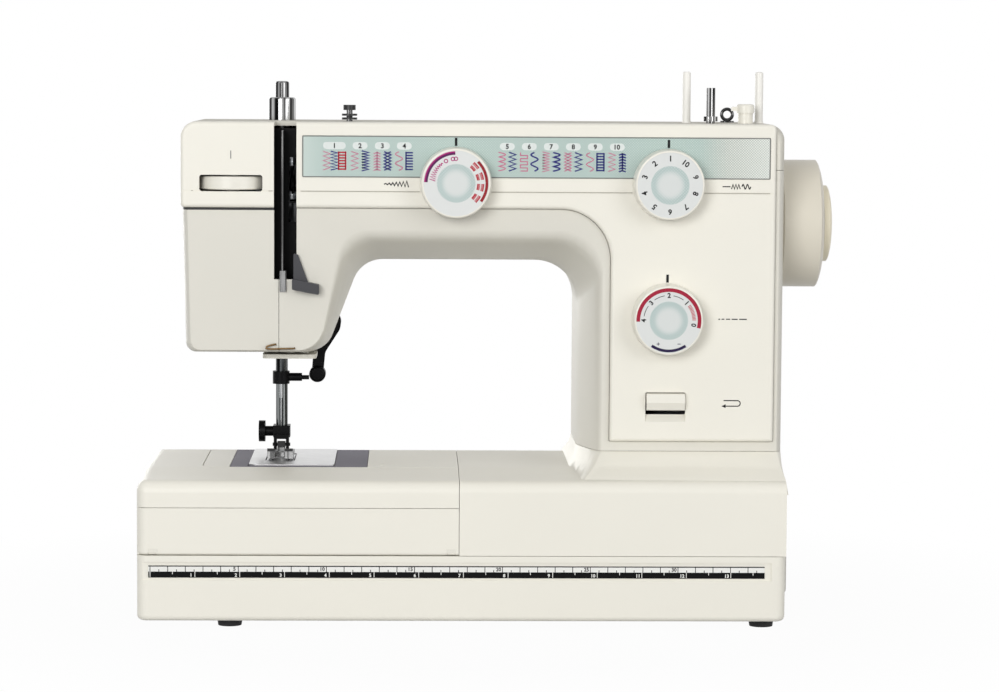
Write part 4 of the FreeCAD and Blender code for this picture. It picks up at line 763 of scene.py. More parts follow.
@dataclass
class PrintedMarks:
    """Thin ink marks of several colours on one upright face that looks to the front.

    A stroke is a flat four-sided profile carried along a path, and a patch is a filled
    outline. Both stand a little proud of the face and reach a little into it.
    """

    name: str
    body: str
    face: float
    proud: float = 0.07
    sunk: float = 0.06
    points: list[np.ndarray] = field(default_factory=list)
    faces: list[tuple[int, ...]] = field(default_factory=list)
    inks: list[Ink] = field(default_factory=list)

    def add(self, points: np.ndarray, faces: Sequence[Sequence[int]], ink: Ink) -> None:
        """Appends one closed mark.

        Args:
            points: its points.
            faces: its faces, counted from its own first point.
            ink: its colour.
        """
        first = sum(len(block) for block in self.points)
        self.points.append(points)
        self.faces.extend(tuple(int(index) + first for index in face) for face in faces)
        self.inks.extend([ink] * len(faces))

    def stroke(self, path: Sequence[Point], width: float, ink: Ink, closed: bool = False) -> None:
        """Adds a line of even width.

        Each point is moved to both sides along the mean normal of its two runs, by half
        the width over the cosine of half the turn, so the corners keep the width.

        Args:
            path: across and up places.
            width: width of the line.
            ink: its colour.
            closed: whether the last point joins the first.
        """
        line = np.asarray(path, float)
        ahead = np.roll(line, -1, axis=0) - line
        ahead = ahead if closed else np.vstack([ahead[:-1], ahead[-2]])
        ahead /= np.linalg.norm(ahead, axis=1, keepdims=True)
        behind = np.roll(ahead, 1, axis=0)
        behind = behind if closed else np.vstack([ahead[0], behind[1:]])
        mean = ahead + behind
        mean /= np.maximum(np.linalg.norm(mean, axis=1, keepdims=True), 1e-6)
        reach = width / 2 / np.maximum(np.sum(mean * ahead, axis=1), 0.5)
        side = np.column_stack([-mean[:, 1], mean[:, 0]]) * reach[:, None]
        rails = np.stack([line + side, line - side, line - side, line + side], axis=1)
        depth = np.array([self.face - self.proud] * 2 + [self.face + self.sunk] * 2)
        deep = np.broadcast_to(depth, rails.shape[:2])
        points = np.stack([rails[..., 0], deep, rails[..., 1]], axis=-1)
        grid = np.arange(points.shape[0] * 4).reshape(-1, 4)
        here, there = (grid, np.roll(grid, -1, axis=0)) if closed else (grid[:-1], grid[1:])
        quads = np.stack([here, np.roll(here, -1, 1), np.roll(there, -1, 1), there], axis=-1)
        caps = np.empty((0, 4), int) if closed else np.stack([grid[0, ::-1], grid[-1]])
        self.add(points.reshape(-1, 3), np.vstack([quads.reshape(-1, 4), caps]).tolist(), ink)

    def patch(self, outline: Sequence[Point], ink: Ink) -> None:
        """Adds a filled outline.

        Args:
            outline: its points, counter-clockwise as seen from the front.
            ink: its colour.
        """
        edge = np.asarray(outline, float)
        count = len(edge)
        depth = np.repeat([self.face - self.proud, self.face + self.sunk], count)
        points = np.column_stack([np.tile(edge[:, 0], 2), depth, np.tile(edge[:, 1], 2)])
        here = np.arange(count)
        there = np.roll(here, -1)
        walls = np.column_stack([here, here + count, there + count, there])
        ends = [here.tolist(), (here[::-1] + count).tolist()]
        self.add(points, walls.tolist() + ends, ink)

    def pill(self, middle: Point, width: float, height: float, ink: Ink) -> None:
        """Adds a lying oblong with half round ends.

        Args:
            middle: across and up place of its middle.
            width: its full width.
            height: its height, which is the width of its ends.
            ink: its colour.
        """
        reach = (width - height) / 2
        right = clock((middle[0] + reach, middle[1]), height / 2, 180.0, 0.0, 9)
        left = clock((middle[0] - reach, middle[1]), height / 2, 0.0, -180.0, 9)
        self.patch(np.vstack([right, left]), ink)

    def number(self, value: int, middle: Point, height: float, ink: Ink, turn: float = 0.0) -> None:
        """Adds a plain number.

        Args:
            value: the number.
            middle: across and up place of its middle.
            height: height of its digits.
            ink: its colour.
            turn: clock angle to which its top is turned.
        """
        curve = bpy.data.curves.new("number", "FONT")
        curve.body = str(value)
        curve.size = 1.0
        curve.resolution_u = 3
        curve.offset = 0.03
        curve.extrude = 1.0
        holder = bpy.data.objects.new("number", curve)
        mesh = bpy.data.meshes.new_from_object(holder)
        places = vertices(mesh)
        low, high = places.min(axis=0), places.max(axis=0)
        flat = (places[:, :2] - (low + high)[:2] / 2) * height / (high - low)[1]
        angle = math.radians(turn)
        across = middle[0] + flat[:, 0] * math.cos(angle) + flat[:, 1] * math.sin(angle)
        up = middle[1] - flat[:, 0] * math.sin(angle) + flat[:, 1] * math.cos(angle)
        depth = np.where(places[:, 2] > 0, self.face - self.proud, self.face + self.sunk)
        faces = [face.vertices[:] for face in mesh.polygons]
        self.add(np.column_stack([across, depth, up]), faces, ink)
        bpy.data.meshes.remove(mesh)
        bpy.data.objects.remove(holder)
        bpy.data.curves.remove(curve)

    def build(self) -> bpy.types.Object:
        """Makes the marks one piece that rides on its body.

        Returns:
            The new piece.
        """
        mesh = bpy.data.meshes.new(self.name)
        mesh.from_pydata((np.vstack(self.points) * MM).tolist(), [], self.faces)
        used = list(dict.fromkeys(self.inks))
        for ink in used:
            mesh.materials.append(ink.material())
        mesh.polygons.foreach_set("material_index", [used.index(ink) for ink in self.inks])
        mesh.update()
        piece = linked(self.name, mesh)
        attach(piece, self.body)
        LOG.info("printed marks %s: %d faces", self.name, len(self.faces))
        return piece


def low_corner(node: str) -> np.ndarray:
    """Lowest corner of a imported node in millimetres."""
    return np.array(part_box(node)[0]) / MM


def high_corner(node: str) -> np.ndarray:
    """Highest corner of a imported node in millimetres."""
    return np.array(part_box(node)[1]) / MM


def front_of(node: str) -> float:
    """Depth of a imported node's foremost point in millimetres."""
    return float(low_corner(node)[1])


@dataclass
class Dial:
    """One front dial: its place, its skin and the marks printed on its face."""

    node: str
    recess: float = 0.25
    face_radius: float = 18.6
    disc_radius: float = 10.9
    index_rise: float = 23.2

    def middle(self) -> Point:
        """Across and up place of the dial's middle."""
        middle = (low_corner(self.node) + high_corner(self.node)) / 2
        return float(middle[0]), float(middle[2])

    def dress(self, colour: Colour) -> None:
        """Paints the dial, with its printed face.

        Args:
            colour: the plastic's colour.
        """
        printed = screen(217, 219, 217), screen(170, 189, 186)
        reach = self.face_radius, self.disc_radius
        skin = DialSkin(
            self.node + "_skin", colour, *printed, self.middle(), front_of(self.node), *reach)
        paint_node(self.node, skin.material())

    def marks(self) -> PrintedMarks:
        """An empty print on the dial's face."""
        return PrintedMarks(self.node + "_print", self.node, front_of(self.node) + self.recess)

    def build(self) -> None:
        """Adds no marks here; each kind of dial prints its own."""


@dataclass
class WidthDial(Dial):
    """Dial with a zigzag that narrows over a quarter turn and four buttonhole boxes."""

    width_arc: Point = (-88.0, -2.0)
    box_arc: Point = (45.0, 126.0)
    zigzag_arc: Point = (-84.0, -34.0)
    zigzag_radius: float = 13.7
    zigzag_swing: Point = (1.8, 0.3)
    zigzag_points: int = 19
    ring_radius: float = 13.9
    ring_angles: tuple[float, ...] = (-25.0, -8.0, -1.0)
    box_angles: tuple[float, ...] = (48.0, 74.0, 99.0, 126.0)
    box_radii: Point = (12.2, 15.6)
    box_half: float = 8.0
    hatch_starts: Point = (12.4, 14.2)
    hatch_length: float = 1.2

    def build(self) -> None:
        """Prints the arcs, the zigzag, three small rings and the boxes."""
        marks, middle = self.marks(), self.middle()
        marks.stroke(clock(middle, 17.85, *self.width_arc), 0.7, Ink.MAGENTA)
        marks.stroke(clock(middle, 16.85, *self.width_arc), 1.3, Ink.PURPLE)
        marks.stroke(clock(middle, 17.4, *self.box_arc), 1.6, Ink.MAROON)
        count = self.zigzag_points
        side = np.where(np.arange(count) % 2, 1.0, -1.0)
        radius = self.zigzag_radius + side * np.linspace(*self.zigzag_swing, count)
        path = clock(middle, radius[:, None], *self.zigzag_arc, count)
        marks.stroke(path, 0.55, Ink.MAGENTA)
        for angle in self.ring_angles:
            ring = clock(spot(middle, self.ring_radius, angle), 1.0, 0, 345, 24)
            marks.stroke(ring, 0.5, Ink.MAGENTA, True)
        for angle in self.box_angles:
            self.buttonhole(marks, angle)
        marks.build()

    def buttonhole(self, marks: PrintedMarks, angle: float) -> None:
        """Prints a box with two hatched sides.

        Args:
            marks: the dial's print.
            angle: clock angle of the box.
        """
        middle = self.middle()
        for radius in self.box_radii:
            side = clock(middle, radius, angle - self.box_half, angle + self.box_half, 9)
            marks.stroke(side, 0.6, Ink.RED)
        for turn in np.linspace(-7, 7, 7):
            for low in self.hatch_starts:
                radii = low, low + self.hatch_length
                ends = [spot(middle, radius, angle + turn) for radius in radii]
                marks.stroke(ends, 0.42, Ink.RED)


@dataclass
class PatternDial(Dial):
    """Dial with ten numbers around its face, the first at the top."""

    count: int = 10
    radius: float = 15.2
    digit: float = 3.3

    def build(self) -> None:
        """Prints the numbers with their tops outward."""
        marks, middle = self.marks(), self.middle()
        for step in range(self.count):
            angle = -360.0 / self.count * step
            place = spot(middle, self.radius, angle)
            marks.number(step + 1, place, self.digit, Ink.BLACK, angle)
        marks.build()


@dataclass
class LengthDial(Dial):
    """Dial with a long red arc, numbers from 4 to 0 and a dark arc for fine stitches."""

    red_arc: Point = (-92.0, 104.0)
    fine_arc: Point = (146.0, 214.0)
    ring: float = 14.4
    number_angles: tuple[float, ...] = (100.0, 45.0, 0.0, -45.0, -90.0)
    digit: float = 2.9
    dash_starts: tuple[float, ...] = (-80.0, -35.0, 10.0)
    dash_turn: float = 25.0
    hatch_arc: Point = (54.0, 88.0)
    sign_radius: float = 14.6
    sign_reach: float = 0.9

    def build(self) -> None:
        """Prints the arcs, the numbers and a plus and minus."""
        marks, middle = self.marks(), self.middle()
        marks.stroke(clock(middle, 17.5, *self.red_arc, 49), 2.1, Ink.CRIMSON)
        for value in (4, 3, 2, 1, 0):
            angle = self.number_angles[value]
            marks.number(value, spot(middle, self.ring, angle), self.digit, Ink.BLACK, angle)
        for start in self.dash_starts:
            dash = clock(middle, self.ring, start, start + self.dash_turn, 9)
            marks.stroke(dash, 0.35, Ink.BLACK)
        for angle in np.linspace(*self.hatch_arc, 12):
            ends = [spot(middle, self.ring + reach, angle) for reach in (-1.0, 1.0)]
            marks.stroke(ends, 0.4, Ink.RED)
        marks.stroke(clock(middle, 17.3, *self.fine_arc, 21), 1.6, Ink.INDIGO)
        for angle, upright in ((156, False), (204, True)):
            self.sign(marks, angle, upright)
        marks.build()

    def sign(self, marks: PrintedMarks, angle: float, upright: bool) -> None:
        """Prints a minus or a plus.

        Args:
            marks: the dial's print.
            angle: clock angle of the sign.
            upright: whether it has an upright line too, as a plus does.
        """
        x, z = spot(self.middle(), self.sign_radius, angle)
        reach = self.sign_reach
        marks.stroke([(x - reach, z), (x + reach, z)], 0.4, Ink.INDIGO)
        if upright:
            marks.stroke([(x, z - reach), (x, z + reach)], 0.4, Ink.INDIGO)


def paint_node(node: str, material: bpy.types.Material) -> None:
    """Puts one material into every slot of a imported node.

    Args:
        node: the node's name.
        material: its new material.
    """
    mesh = frame["nodes"][node].data
    for index in range(len(mesh.materials)):
        mesh.materials[index] = material
    if not mesh.materials:
        mesh.materials.append(material)


class Motif(Enum):
    """Plain stitch figures for the chart."""

    ZIGZAG = "zigzag"
    DENSE = "dense"
    WAVE = "wave"
    SCALLOP = "scallop"
    COMB = "comb"
    BARBS = "barbs"
    LADDER = "ladder"
    DIAMONDS = "diamonds"
    STEPS = "steps"
    CHEVRONS = "chevrons"

    def paths(self, middle: Point, width: float, height: float) -> list[np.ndarray]:
        """Lines of the figure.

        Args:
            middle: across and up place of its middle.
            width: its width.
            height: its height.

        Returns:
            One array of points for each line.
        """
        x, z = middle
        half = width / 2
        rows = np.linspace(z - height * 0.45, z + height * 0.45, 7)
        spine = np.array([(x, z - height / 2), (x, z + height / 2)])
        rungs = [np.array([(x - half, row), (x + half, row)]) for row in rows]
        barbs = [np.array([(x - half, row - 0.7), (x, row), (x + half, row - 0.7)]) for row in rows]
        heads = [np.array([(x - half, row - 0.9), (x + half, row), (x - half, row + 0.9)])
                 for row in rows]
        steps = np.repeat(zigzag(middle, width, height, 6), 2, axis=0)
        return {
            Motif.ZIGZAG: [zigzag(middle, width, height, 8)],
            Motif.DENSE: [zigzag(middle, width, height, 12)],
            Motif.WAVE: [wave(middle, width, height, 4)],
            Motif.SCALLOP: [wave(middle, width, height, 4, True)],
            Motif.COMB: [spine - (half, 0), *rungs],
            Motif.BARBS: [spine, *barbs],
            Motif.LADDER: [spine - (half, 0), spine + (half, 0), *rungs],
            Motif.DIAMONDS: [zigzag(middle, across, height, 6) for across in (width, -width)],
            Motif.STEPS: [np.column_stack([steps[1:, 0], steps[:-1, 1]])],
            Motif.CHEVRONS: heads,
        }[self]


@dataclass
class ControlStrip:
    """Printed strip across the arm with a chart of stitch figures under numbers."""

    node: str = "control_strip"
    figure_height: float = 10.6
    figure_width: float = 4.0
    figure_drop: float = 14.2
    thin: float = 0.55
    thick: float = 0.85
    number_drop: float = 5.6
    digit: float = 2.9
    label_height: float = 4.2
    label_widths: Point = (13.0, 8.6)
    reaches: Point = (4.4, 3.0)
    first: tuple[float, ...] = (-90.3, -75.7, -63.0, -50.5)
    second_start: float = 8.2
    second_step: float = 12.56
    second_count: int = 6
    turn: float = 122.0

    def columns(self) -> list[float]:
        """Across places of the chart's columns."""
        second = self.second_start + self.second_step * np.arange(self.second_count)
        return [*self.first, *second.tolist()]

    def dress(self) -> None:
        """Paints the strip with its dots."""
        low, high = low_corner(self.node), high_corner(self.node)
        colours = (screen(166, 187, 181), screen(228, 232, 226), screen(178, 184, 176))
        skin = PrintedStrip("strip_print", *colours, float(low[0]), float(high[0]), self.turn)
        paint_node(self.node, skin.material())

    def build(self) -> None:
        """Prints the numbers in their white labels and the figures below."""
        top = high_corner(self.node)[2]
        marks = PrintedMarks("stitch_chart", "body", front_of(self.node))
        pairs = [
            (Motif.ZIGZAG, Motif.DENSE), (Motif.ZIGZAG, Motif.CHEVRONS),
            (Motif.BARBS, Motif.DIAMONDS), (Motif.WAVE, Motif.COMB),
            (Motif.SCALLOP, Motif.ZIGZAG), (Motif.STEPS, Motif.WAVE),
            (Motif.CHEVRONS, Motif.SCALLOP), (Motif.DIAMONDS, Motif.ZIGZAG),
            (Motif.WAVE, Motif.LADDER), (Motif.ZIGZAG, Motif.BARBS),
        ]
        for step, (x, (left, right)) in enumerate(zip(self.columns(), pairs)):
            wide, reach = self.label_widths[min(step, 1)], self.reaches[min(step, 1)]
            place = x, top - self.number_drop
            marks.pill(place, wide, self.label_height, Ink.LABEL)
            label = PrintedMarks("stitch_number", "body", marks.face - marks.proud)
            label.number(step + 1, place, self.digit, Ink.BLACK)
            marks.add(label.points[0], label.faces, Ink.BLACK)
            level = top - self.figure_drop
            self.figure(marks, left, (x - reach, level), Ink.PINK)
            self.figure(marks, right, (x if step == 0 else x + reach, level), Ink.BLUE)
            if step == 0:
                self.figure(marks, Motif.LADDER, (x + reach, level), Ink.RED)
        self.border(marks)
        marks.build()

    def border(self, marks: PrintedMarks) -> None:
        """Prints the thin dark line round the strip.

        Args:
            marks: the strip's print.
        """
        low, high = low_corner(self.node) + 0.3, high_corner(self.node) - 0.3
        path = [(low[0], low[2]), (high[0], low[2]), (high[0], high[2]), (low[0], high[2])]
        marks.stroke(path, 0.45, Ink.GREY, True)

    def figure(self, marks: PrintedMarks, motif: Motif, middle: Point, ink: Ink) -> None:
        """Prints one figure of the chart.

        Args:
            marks: the strip's print.
            motif: the figure.
            middle: across and up place of its middle.
            ink: its colour.
        """
        line = self.thin if ink is Ink.PINK else self.thick
        for path in motif.paths(middle, self.figure_width, self.figure_height):
            marks.stroke(path, line, ink)


@dataclass
class RulerTape:
    """Measuring tape along the base with centimetres above and inches below."""

    node: str = "ruler_strip"
    edge: float = 0.55
    inset: float = 1.0
    half_centimetre: float = 5.0
    inch: float = 25.4
    short: float = 0.45
    aside: float = 2.2
    nudge: float = 0.2

    def middle(self) -> float:
        """Height of the line between the two rows."""
        return float((low_corner(self.node)[2] + high_corner(self.node)[2]) / 2)

    def dress(self) -> None:
        """Paints the two rows and the line along the top."""
        top = float(high_corner(self.node)[2]) - self.edge
        rows = screen(240, 240, 236), screen(10, 10, 11)
        skin = RulerSkin("ruler_print", *rows, self.middle(), top)
        paint_node(self.node, skin.material())

    def build(self) -> None:
        """Prints the ticks and plain numbers of both rows."""
        marks = PrintedMarks("ruler_marks", "body", front_of(self.node))
        top = high_corner(self.node)[2] - self.edge
        self.row(marks, self.half_centimetre, 10, top, (1.0, 0.4, 2.2), Ink.BLACK)
        self.row(marks, self.inch / 2, 2, low_corner(self.node)[2], (0.9, 0.35, 2.0), Ink.WHITE)
        marks.build()

    def row(self, marks: PrintedMarks, pitch: float, numbered: int, rim: float,
            sizes: tuple[float, float, float], ink: Ink) -> None:
        """Prints one row of long and short ticks, which start at the middle line.

        Args:
            marks: the tape's print.
            pitch: step from tick to tick, half a unit.
            numbered: how many ticks there are from number to number.
            rim: height of the row's other edge.
            sizes: a long tick as a share of the row, width of a tick, height of a digit.
            ink: colour of the row.
        """
        long, line, digit = sizes
        start, stop = low_corner(self.node)[0] + self.inset, high_corner(self.node)[0] - self.inset
        middle = self.middle()
        for step in range(int((stop - start) / pitch) + 1):
            share = self.short if step % 2 else long
            x = start + pitch * step
            marks.stroke([(x, middle), (x, middle + (rim - middle) * share)], line, ink)
            if step and step % numbered == 0:
                level = (middle + rim) / 2 + math.copysign(self.nudge, rim - middle)
                marks.number(step // 2, (x - self.aside, level), digit, ink)


@dataclass
class PanelSigns:
    """Index lines above the dials and small signs beside the controls."""

    dials: Sequence[Dial]
    tension: str = "tension_dial"
    line: float = 0.6
    seam_level: float = 248.7
    seam_line: float = 0.4
    seam_gap: float = 20.6
    strip_lead: float = 1.0
    window_gap: float = 1.5
    head_inset: float = 6.0
    channel_inset: float = 15.5
    index_half: float = 2.3
    index_line: float = 1.5
    width_aside: Point = (-34.0, -1.0)
    pattern_aside: Point = (38.0, -1.0)
    length_aside: Point = (37.0, 0.0)
    reverse_aside: float = 38.0
    reverse_level: float = 128.0

    def build(self) -> None:
        """Prints the index lines and the signs."""
        strip = PrintedMarks("strip_index", "body", front_of("control_strip"))
        panel = PrintedMarks("panel_signs", "body", front_of("front_panel"))
        floor = low_corner("control_strip")[2]
        for dial in self.dials:
            x, z = dial.middle()
            z += dial.index_rise
            marks = strip if z > floor else panel
            path = [(x, z - self.index_half), (x, z + self.index_half)]
            marks.stroke(path, self.index_line, Ink.BLACK)
        width, pattern, length = (np.array(dial.middle()) for dial in self.dials)
        self.width_sign(panel, width + self.width_aside)
        self.pattern_sign(panel, pattern + self.pattern_aside)
        self.length_sign(panel, length + self.length_aside)
        self.reverse_sign(panel, (length[0] + self.reverse_aside, self.reverse_level))
        self.seams(panel, width, pattern)
        strip.build()
        panel.build()
        self.tension_line()

    def seams(self, marks: PrintedMarks, width: Point, pattern: Point) -> None:
        """Paints a thin line of painted shade along the moulded step below the strip and across the
        head, open at the dials.

        Args:
            marks: the panel's print.
            width: place of the stitch width dial.
            pattern: place of the pattern dial.
        """
        gap = self.seam_gap
        left = low_corner("control_strip")[0] - self.strip_lead
        head = PrintedMarks("head_seam_shade", "body", front_of("head_panel"))
        start = low_corner("head_panel")[0] + self.head_inset
        stop = high_corner("thread_channel")[0] - self.channel_inset
        runs = [
            (marks, left, width[0] - gap),
            (marks, width[0] + gap, pattern[0] - gap),
            (marks, pattern[0] + gap, high_corner("control_strip")[0]),
            (head, start, low_corner(self.tension)[0] - self.window_gap),
            (head, high_corner(self.tension)[0] + self.window_gap, stop),
        ]
        for print_of, first, last in runs:
            path = [(first, self.seam_level), (last, self.seam_level)]
            print_of.stroke(path, self.seam_line, Ink.SEAM)
        head.build()

    def width_sign(self, marks: PrintedMarks, middle: Point) -> None:
        """Prints a zigzag that widens from left to right.

        Args:
            marks: the panel's print.
            middle: across and up place of the sign's middle.
        """
        step = np.arange(15)
        swing = np.where(step % 2, 1.0, -1.0) * np.linspace(0.2, 1.8, 15)
        path = np.column_stack([middle[0] + step - 7, middle[1] + swing])
        marks.stroke(path, self.line, Ink.BLACK)

    def pattern_sign(self, marks: PrintedMarks, middle: Point) -> None:
        """Prints a small straight, zigzag and wavy line side by side.

        Args:
            marks: the panel's print.
            middle: across and up place of the sign's middle.
        """
        x, z = middle
        marks.stroke([(x - 7, z), (x - 2.5, z)], self.line, Ink.BLACK)
        for right, path in ((0.6, zigzag((0, 0), 2.6, 5, 6)), (6.6, wave((0, 0), 2.6, 5, 4))):
            lying = np.column_stack([x + right + path[:, 1], z + path[:, 0]])
            marks.stroke(lying, self.line, Ink.BLACK)

    def length_sign(self, marks: PrintedMarks, middle: Point) -> None:
        """Prints dashes that grow from left to right.

        Args:
            marks: the panel's print.
            middle: across and up place of the sign's middle.
        """
        x, z = middle
        left = x - 7.5
        for dash in (0.9, 1.6, 2.4, 3.4, 4.4):
            marks.stroke([(left, z), (left + dash, z)], self.line, Ink.BLACK)
            left += dash + 0.9

    def reverse_sign(self, marks: PrintedMarks, middle: Point) -> None:
        """Prints an arrow that turns back on itself.

        Args:
            marks: the panel's print.
            middle: across and up place of the sign's middle.
        """
        x, z = middle
        bend = clock((x + 3, z), 1.6, 0, 180, 13)
        path = np.vstack([[(x - 5, z + 1.6)], bend, [(x - 4, z - 1.6)]])
        marks.stroke(path, self.line, Ink.BLACK)
        marks.patch([(x - 6.2, z - 1.6), (x - 3.8, z - 2.7), (x - 3.8, z - 0.5)], Ink.BLACK)

    def tension_line(self) -> None:
        """Prints the thin line above the thread tension window."""
        low, high = low_corner(self.tension), high_corner(self.tension)
        x = float(low[0] + high[0]) / 2
        marks = PrintedMarks("tension_index", "body", front_of("head_panel"))
        marks.stroke([(x, high[2] + 1.2), (x, high[2] + 5.8)], 0.5, Ink.GREY)
        marks.build()


@dataclass
class Machine:
    """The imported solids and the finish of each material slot."""

    cream: Colour = screen(238, 235, 224)
    above_all: float = 1000.0
    joint_width: float = 1.5
    foot_bright: float = 4.2

    def finishes(self) -> dict[str, Finish]:
        """Chooses the finishes of the material slots.

        Returns:
            The finish of each slot of the record.
        """
        cream = self.cream
        return {
            "casing": MouldedPlastic("casing_cream", cream, 0.42),
            "panel": MouldedPlastic("panel_cream", cream, 0.42),
            "knob": MouldedPlastic("knob_cream", shaded(cream, 0.98), 0.32, gloss=0.2),
            "dark_plate": MouldedPlastic("plate_violet", screen(84, 80, 95), 0.5, 0.3, shine=0.2),
            "black_plastic": MouldedPlastic("black_moulding", screen(12, 12, 14), 0.3, shine=0.08),
            "grey_plastic": MouldedPlastic("grey_moulding", screen(60, 60, 64), 0.4, shine=0.3),
            "bright_steel": WorkedMetal("bright_steel", screen(205, 206, 208), 0.26, (1, 1, 14)),
            "chrome": WorkedMetal("chrome", screen(222, 223, 226), 0.1, depth=0.001),
            "machined_steel": WorkedMetal("turned_steel", screen(170, 171, 174), 0.34, (0.6, 6, 6)),
            "bronze": WorkedMetal("bush_bronze", screen(176, 140, 84), 0.42),
            "cast_frame": CoarseSkin("cast_alloy", screen(176, 178, 180), 0.55, 0.9),
            "rubber": CoarseSkin("black_rubber", screen(34, 34, 35), 0.82),
            "motor_shell": CoarseSkin("motor_paint", screen(46, 46, 49), 0.5),
            "lamp_glass": FrostedGlass("lamp_glass", screen(240, 234, 220)),
        }

    def special(self) -> dict[str, Finish]:
        """The finish of each node that differs from the rest of its slot."""
        return {**self.special_plastics(), **self.special_steels()}

    def special_plastics(self) -> dict[str, Finish]:
        """Chooses the plastic of covers, wheel and pins that isn't quite their slot's: the arm
        covers and the top cover are the cream darkened as painted shade, and the face cover also
        has a painted shadow above its joint with the head panel.

        Returns:
            The finish of each such node.
        """
        # The arm covers are the casing cream darkened as painted shade, for the less light that
        # falls on them.
        arm = MouldedPlastic("arm_cream_painted_shade", shaded(self.cream, 0.83), 0.42)
        # Above this level the face cover is painted nearly black as the shadow in its joint with
        # the head panel.
        joint = float(low_corner("head_panel")[2]) - self.joint_width
        return {
            "front_cover": arm,
            "face_cover": EdgedPlastic("face_painted_shade", arm.colour, 0.42, edge=joint),
            "rear_cover": arm,
            "handwheel": MouldedPlastic("wheel_beige", screen(220, 214, 199), 0.38, gloss=0.1),
            "clutch_knob": MouldedPlastic("clutch_beige", screen(246, 238, 214), 0.4),
            "left_spool_pin": MouldedPlastic("pin_white", screen(244, 242, 236), 0.34),
            "right_spool_pin": MouldedPlastic("pin_white_right", screen(244, 242, 236), 0.34),
            # The top cover is the cream darkened as painted shade of its top face.
            "top_cover": MouldedPlastic("top_cream_painted_shade", shaded(self.cream, 0.88), 0.75, shine=0.05),
            "socket_plate": MouldedPlastic("socket_beige", shaded(self.cream, 0.8), 0.45),
        }

    def special_steels(self) -> dict[str, Finish]:
        """Chooses the steel of bars and small pieces, each with its own painted reflection lines.

        Returns:
            The finish of each such node.
        """
        foot_black = float(low_corner("presser_foot")[2]) + self.foot_bright
        loop = {"black": (289.1, self.above_all), "bare": (292.4, 294.5)}
        return {
            "needle_plate": WorkedMetal("plate_polish", grey(222), 0.34, (10, 1, 1)),
            "needle_bar": StreakedSteel("needle_bar_steel", screen(12, 12, 13), screen(92, 95, 96)),
            "presser_bar": StreakedSteel(
                "presser_bar_steel", screen(44, 46, 47), screen(136, 139, 139)),
            "take_up_lever": StreakedSteel(
                "take_up_steel", screen(60, 62, 64), screen(150, 152, 154)),
            "needle": StreakedSteel(
                "needle_steel", screen(110, 112, 114), screen(190, 192, 194), 0.4),
            "thread_guides": BlackedSteel("guide_steel", grey(50), grey(142), 0.8, **loop),
            "presser_foot": BlackedSteel(
                "foot_steel", grey(86), grey(146), 2.0, 0.36, (foot_black, self.above_all)),
            "pressure_collar": StreakedSteel("collar_chrome", grey(16), grey(196), 3.2, 0.12),
            "pressure_pin": StreakedSteel("pin_chrome", grey(18), grey(160), 1.6, 0.1),
            "winder_spindle": StreakedSteel("spindle_steel", grey(14), grey(198), 1.0, 0.14),
        }

    def dress(self) -> None:
        """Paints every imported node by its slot, or by its own finish."""
        made = {slot: finish.material() for slot, finish in self.finishes().items()}
        own = {node: finish.material() for node, finish in self.special().items()}
        for part in frame["record"]["subparts"]:
            node, slot = part["node"], part["material_slot"]
            if node in own or slot in made:
                paint_node(node, own.get(node) or made[slot])
                LOG.info("node %s: %s", node, slot)


@dataclass
class SmoothCasing:
    """A packed casing shaded as one bent surface between its sharp edges."""

    node: str
    edge: float = 34.0
    weld: float = 0.002

    def build(self) -> bpy.types.Object:
        """Welds a copy of the node's triangles and puts it in the node's place.

        Corners that round to the same multiple of the weld become one point, and a
        triangle that loses a side in this way is left out.

        Returns:
            The new piece.
        """
        source = frame["nodes"][self.node]
        places = vertices(source.data)
        ends = np.empty(len(source.data.loops), np.int32)
        source.data.loops.foreach_get("vertex_index", ends)
        rounded = np.rint(places / (self.weld * MM))
        _, first, same = np.unique(rounded, axis=0, return_index=True, return_inverse=True)
        sides = same.reshape(-1)[ends].reshape(-1, 3)
        whole = np.all(sides != np.roll(sides, 1, axis=1), axis=1)
        mesh = bpy.data.meshes.new(self.node + "_skin")
        mesh.from_pydata(places[first].tolist(), [], sides[whole].tolist())
        mesh.materials.append(source.data.materials[0])
        mesh.shade_smooth()
        mesh.set_sharp_from_angle(angle=math.radians(self.edge))
        piece = linked(mesh.name, mesh)
        even = piece.modifiers.new("even_normals", "WEIGHTED_NORMAL")
        even.keep_sharp = True
        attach(piece, body_of(source)[0])
        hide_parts(self.node)
        LOG.info("casing %s: %d triangles", self.node, int(whole.sum()))
        return piece


@dataclass
class FlapSkin:
    """Thin front skin of the accessory flap over its two hinge lugs."""

    node: str = "accessory_flap"
    insets: Point = (8.7, 4.2)
    half_width: float = 2.85
    rise: Point = (1.5, 3.6)

    def build(self) -> None:
        """Lays a film flush with the flap's front over each lug."""
        low, high = low_corner(self.node), high_corner(self.node)
        marks = PrintedMarks("flap_skin", self.node, float(low[1]), 0.03, 0.08)
        for x in (low[0] + self.insets[0], high[0] - self.insets[1]):
            left, right = x - self.half_width, x + self.half_width
            foot, head = low[2] + self.rise[0], low[2] + self.rise[1]
            marks.patch([(left, foot), (right, foot), (right, head), (left, head)], Ink.CREAM)
        marks.build()


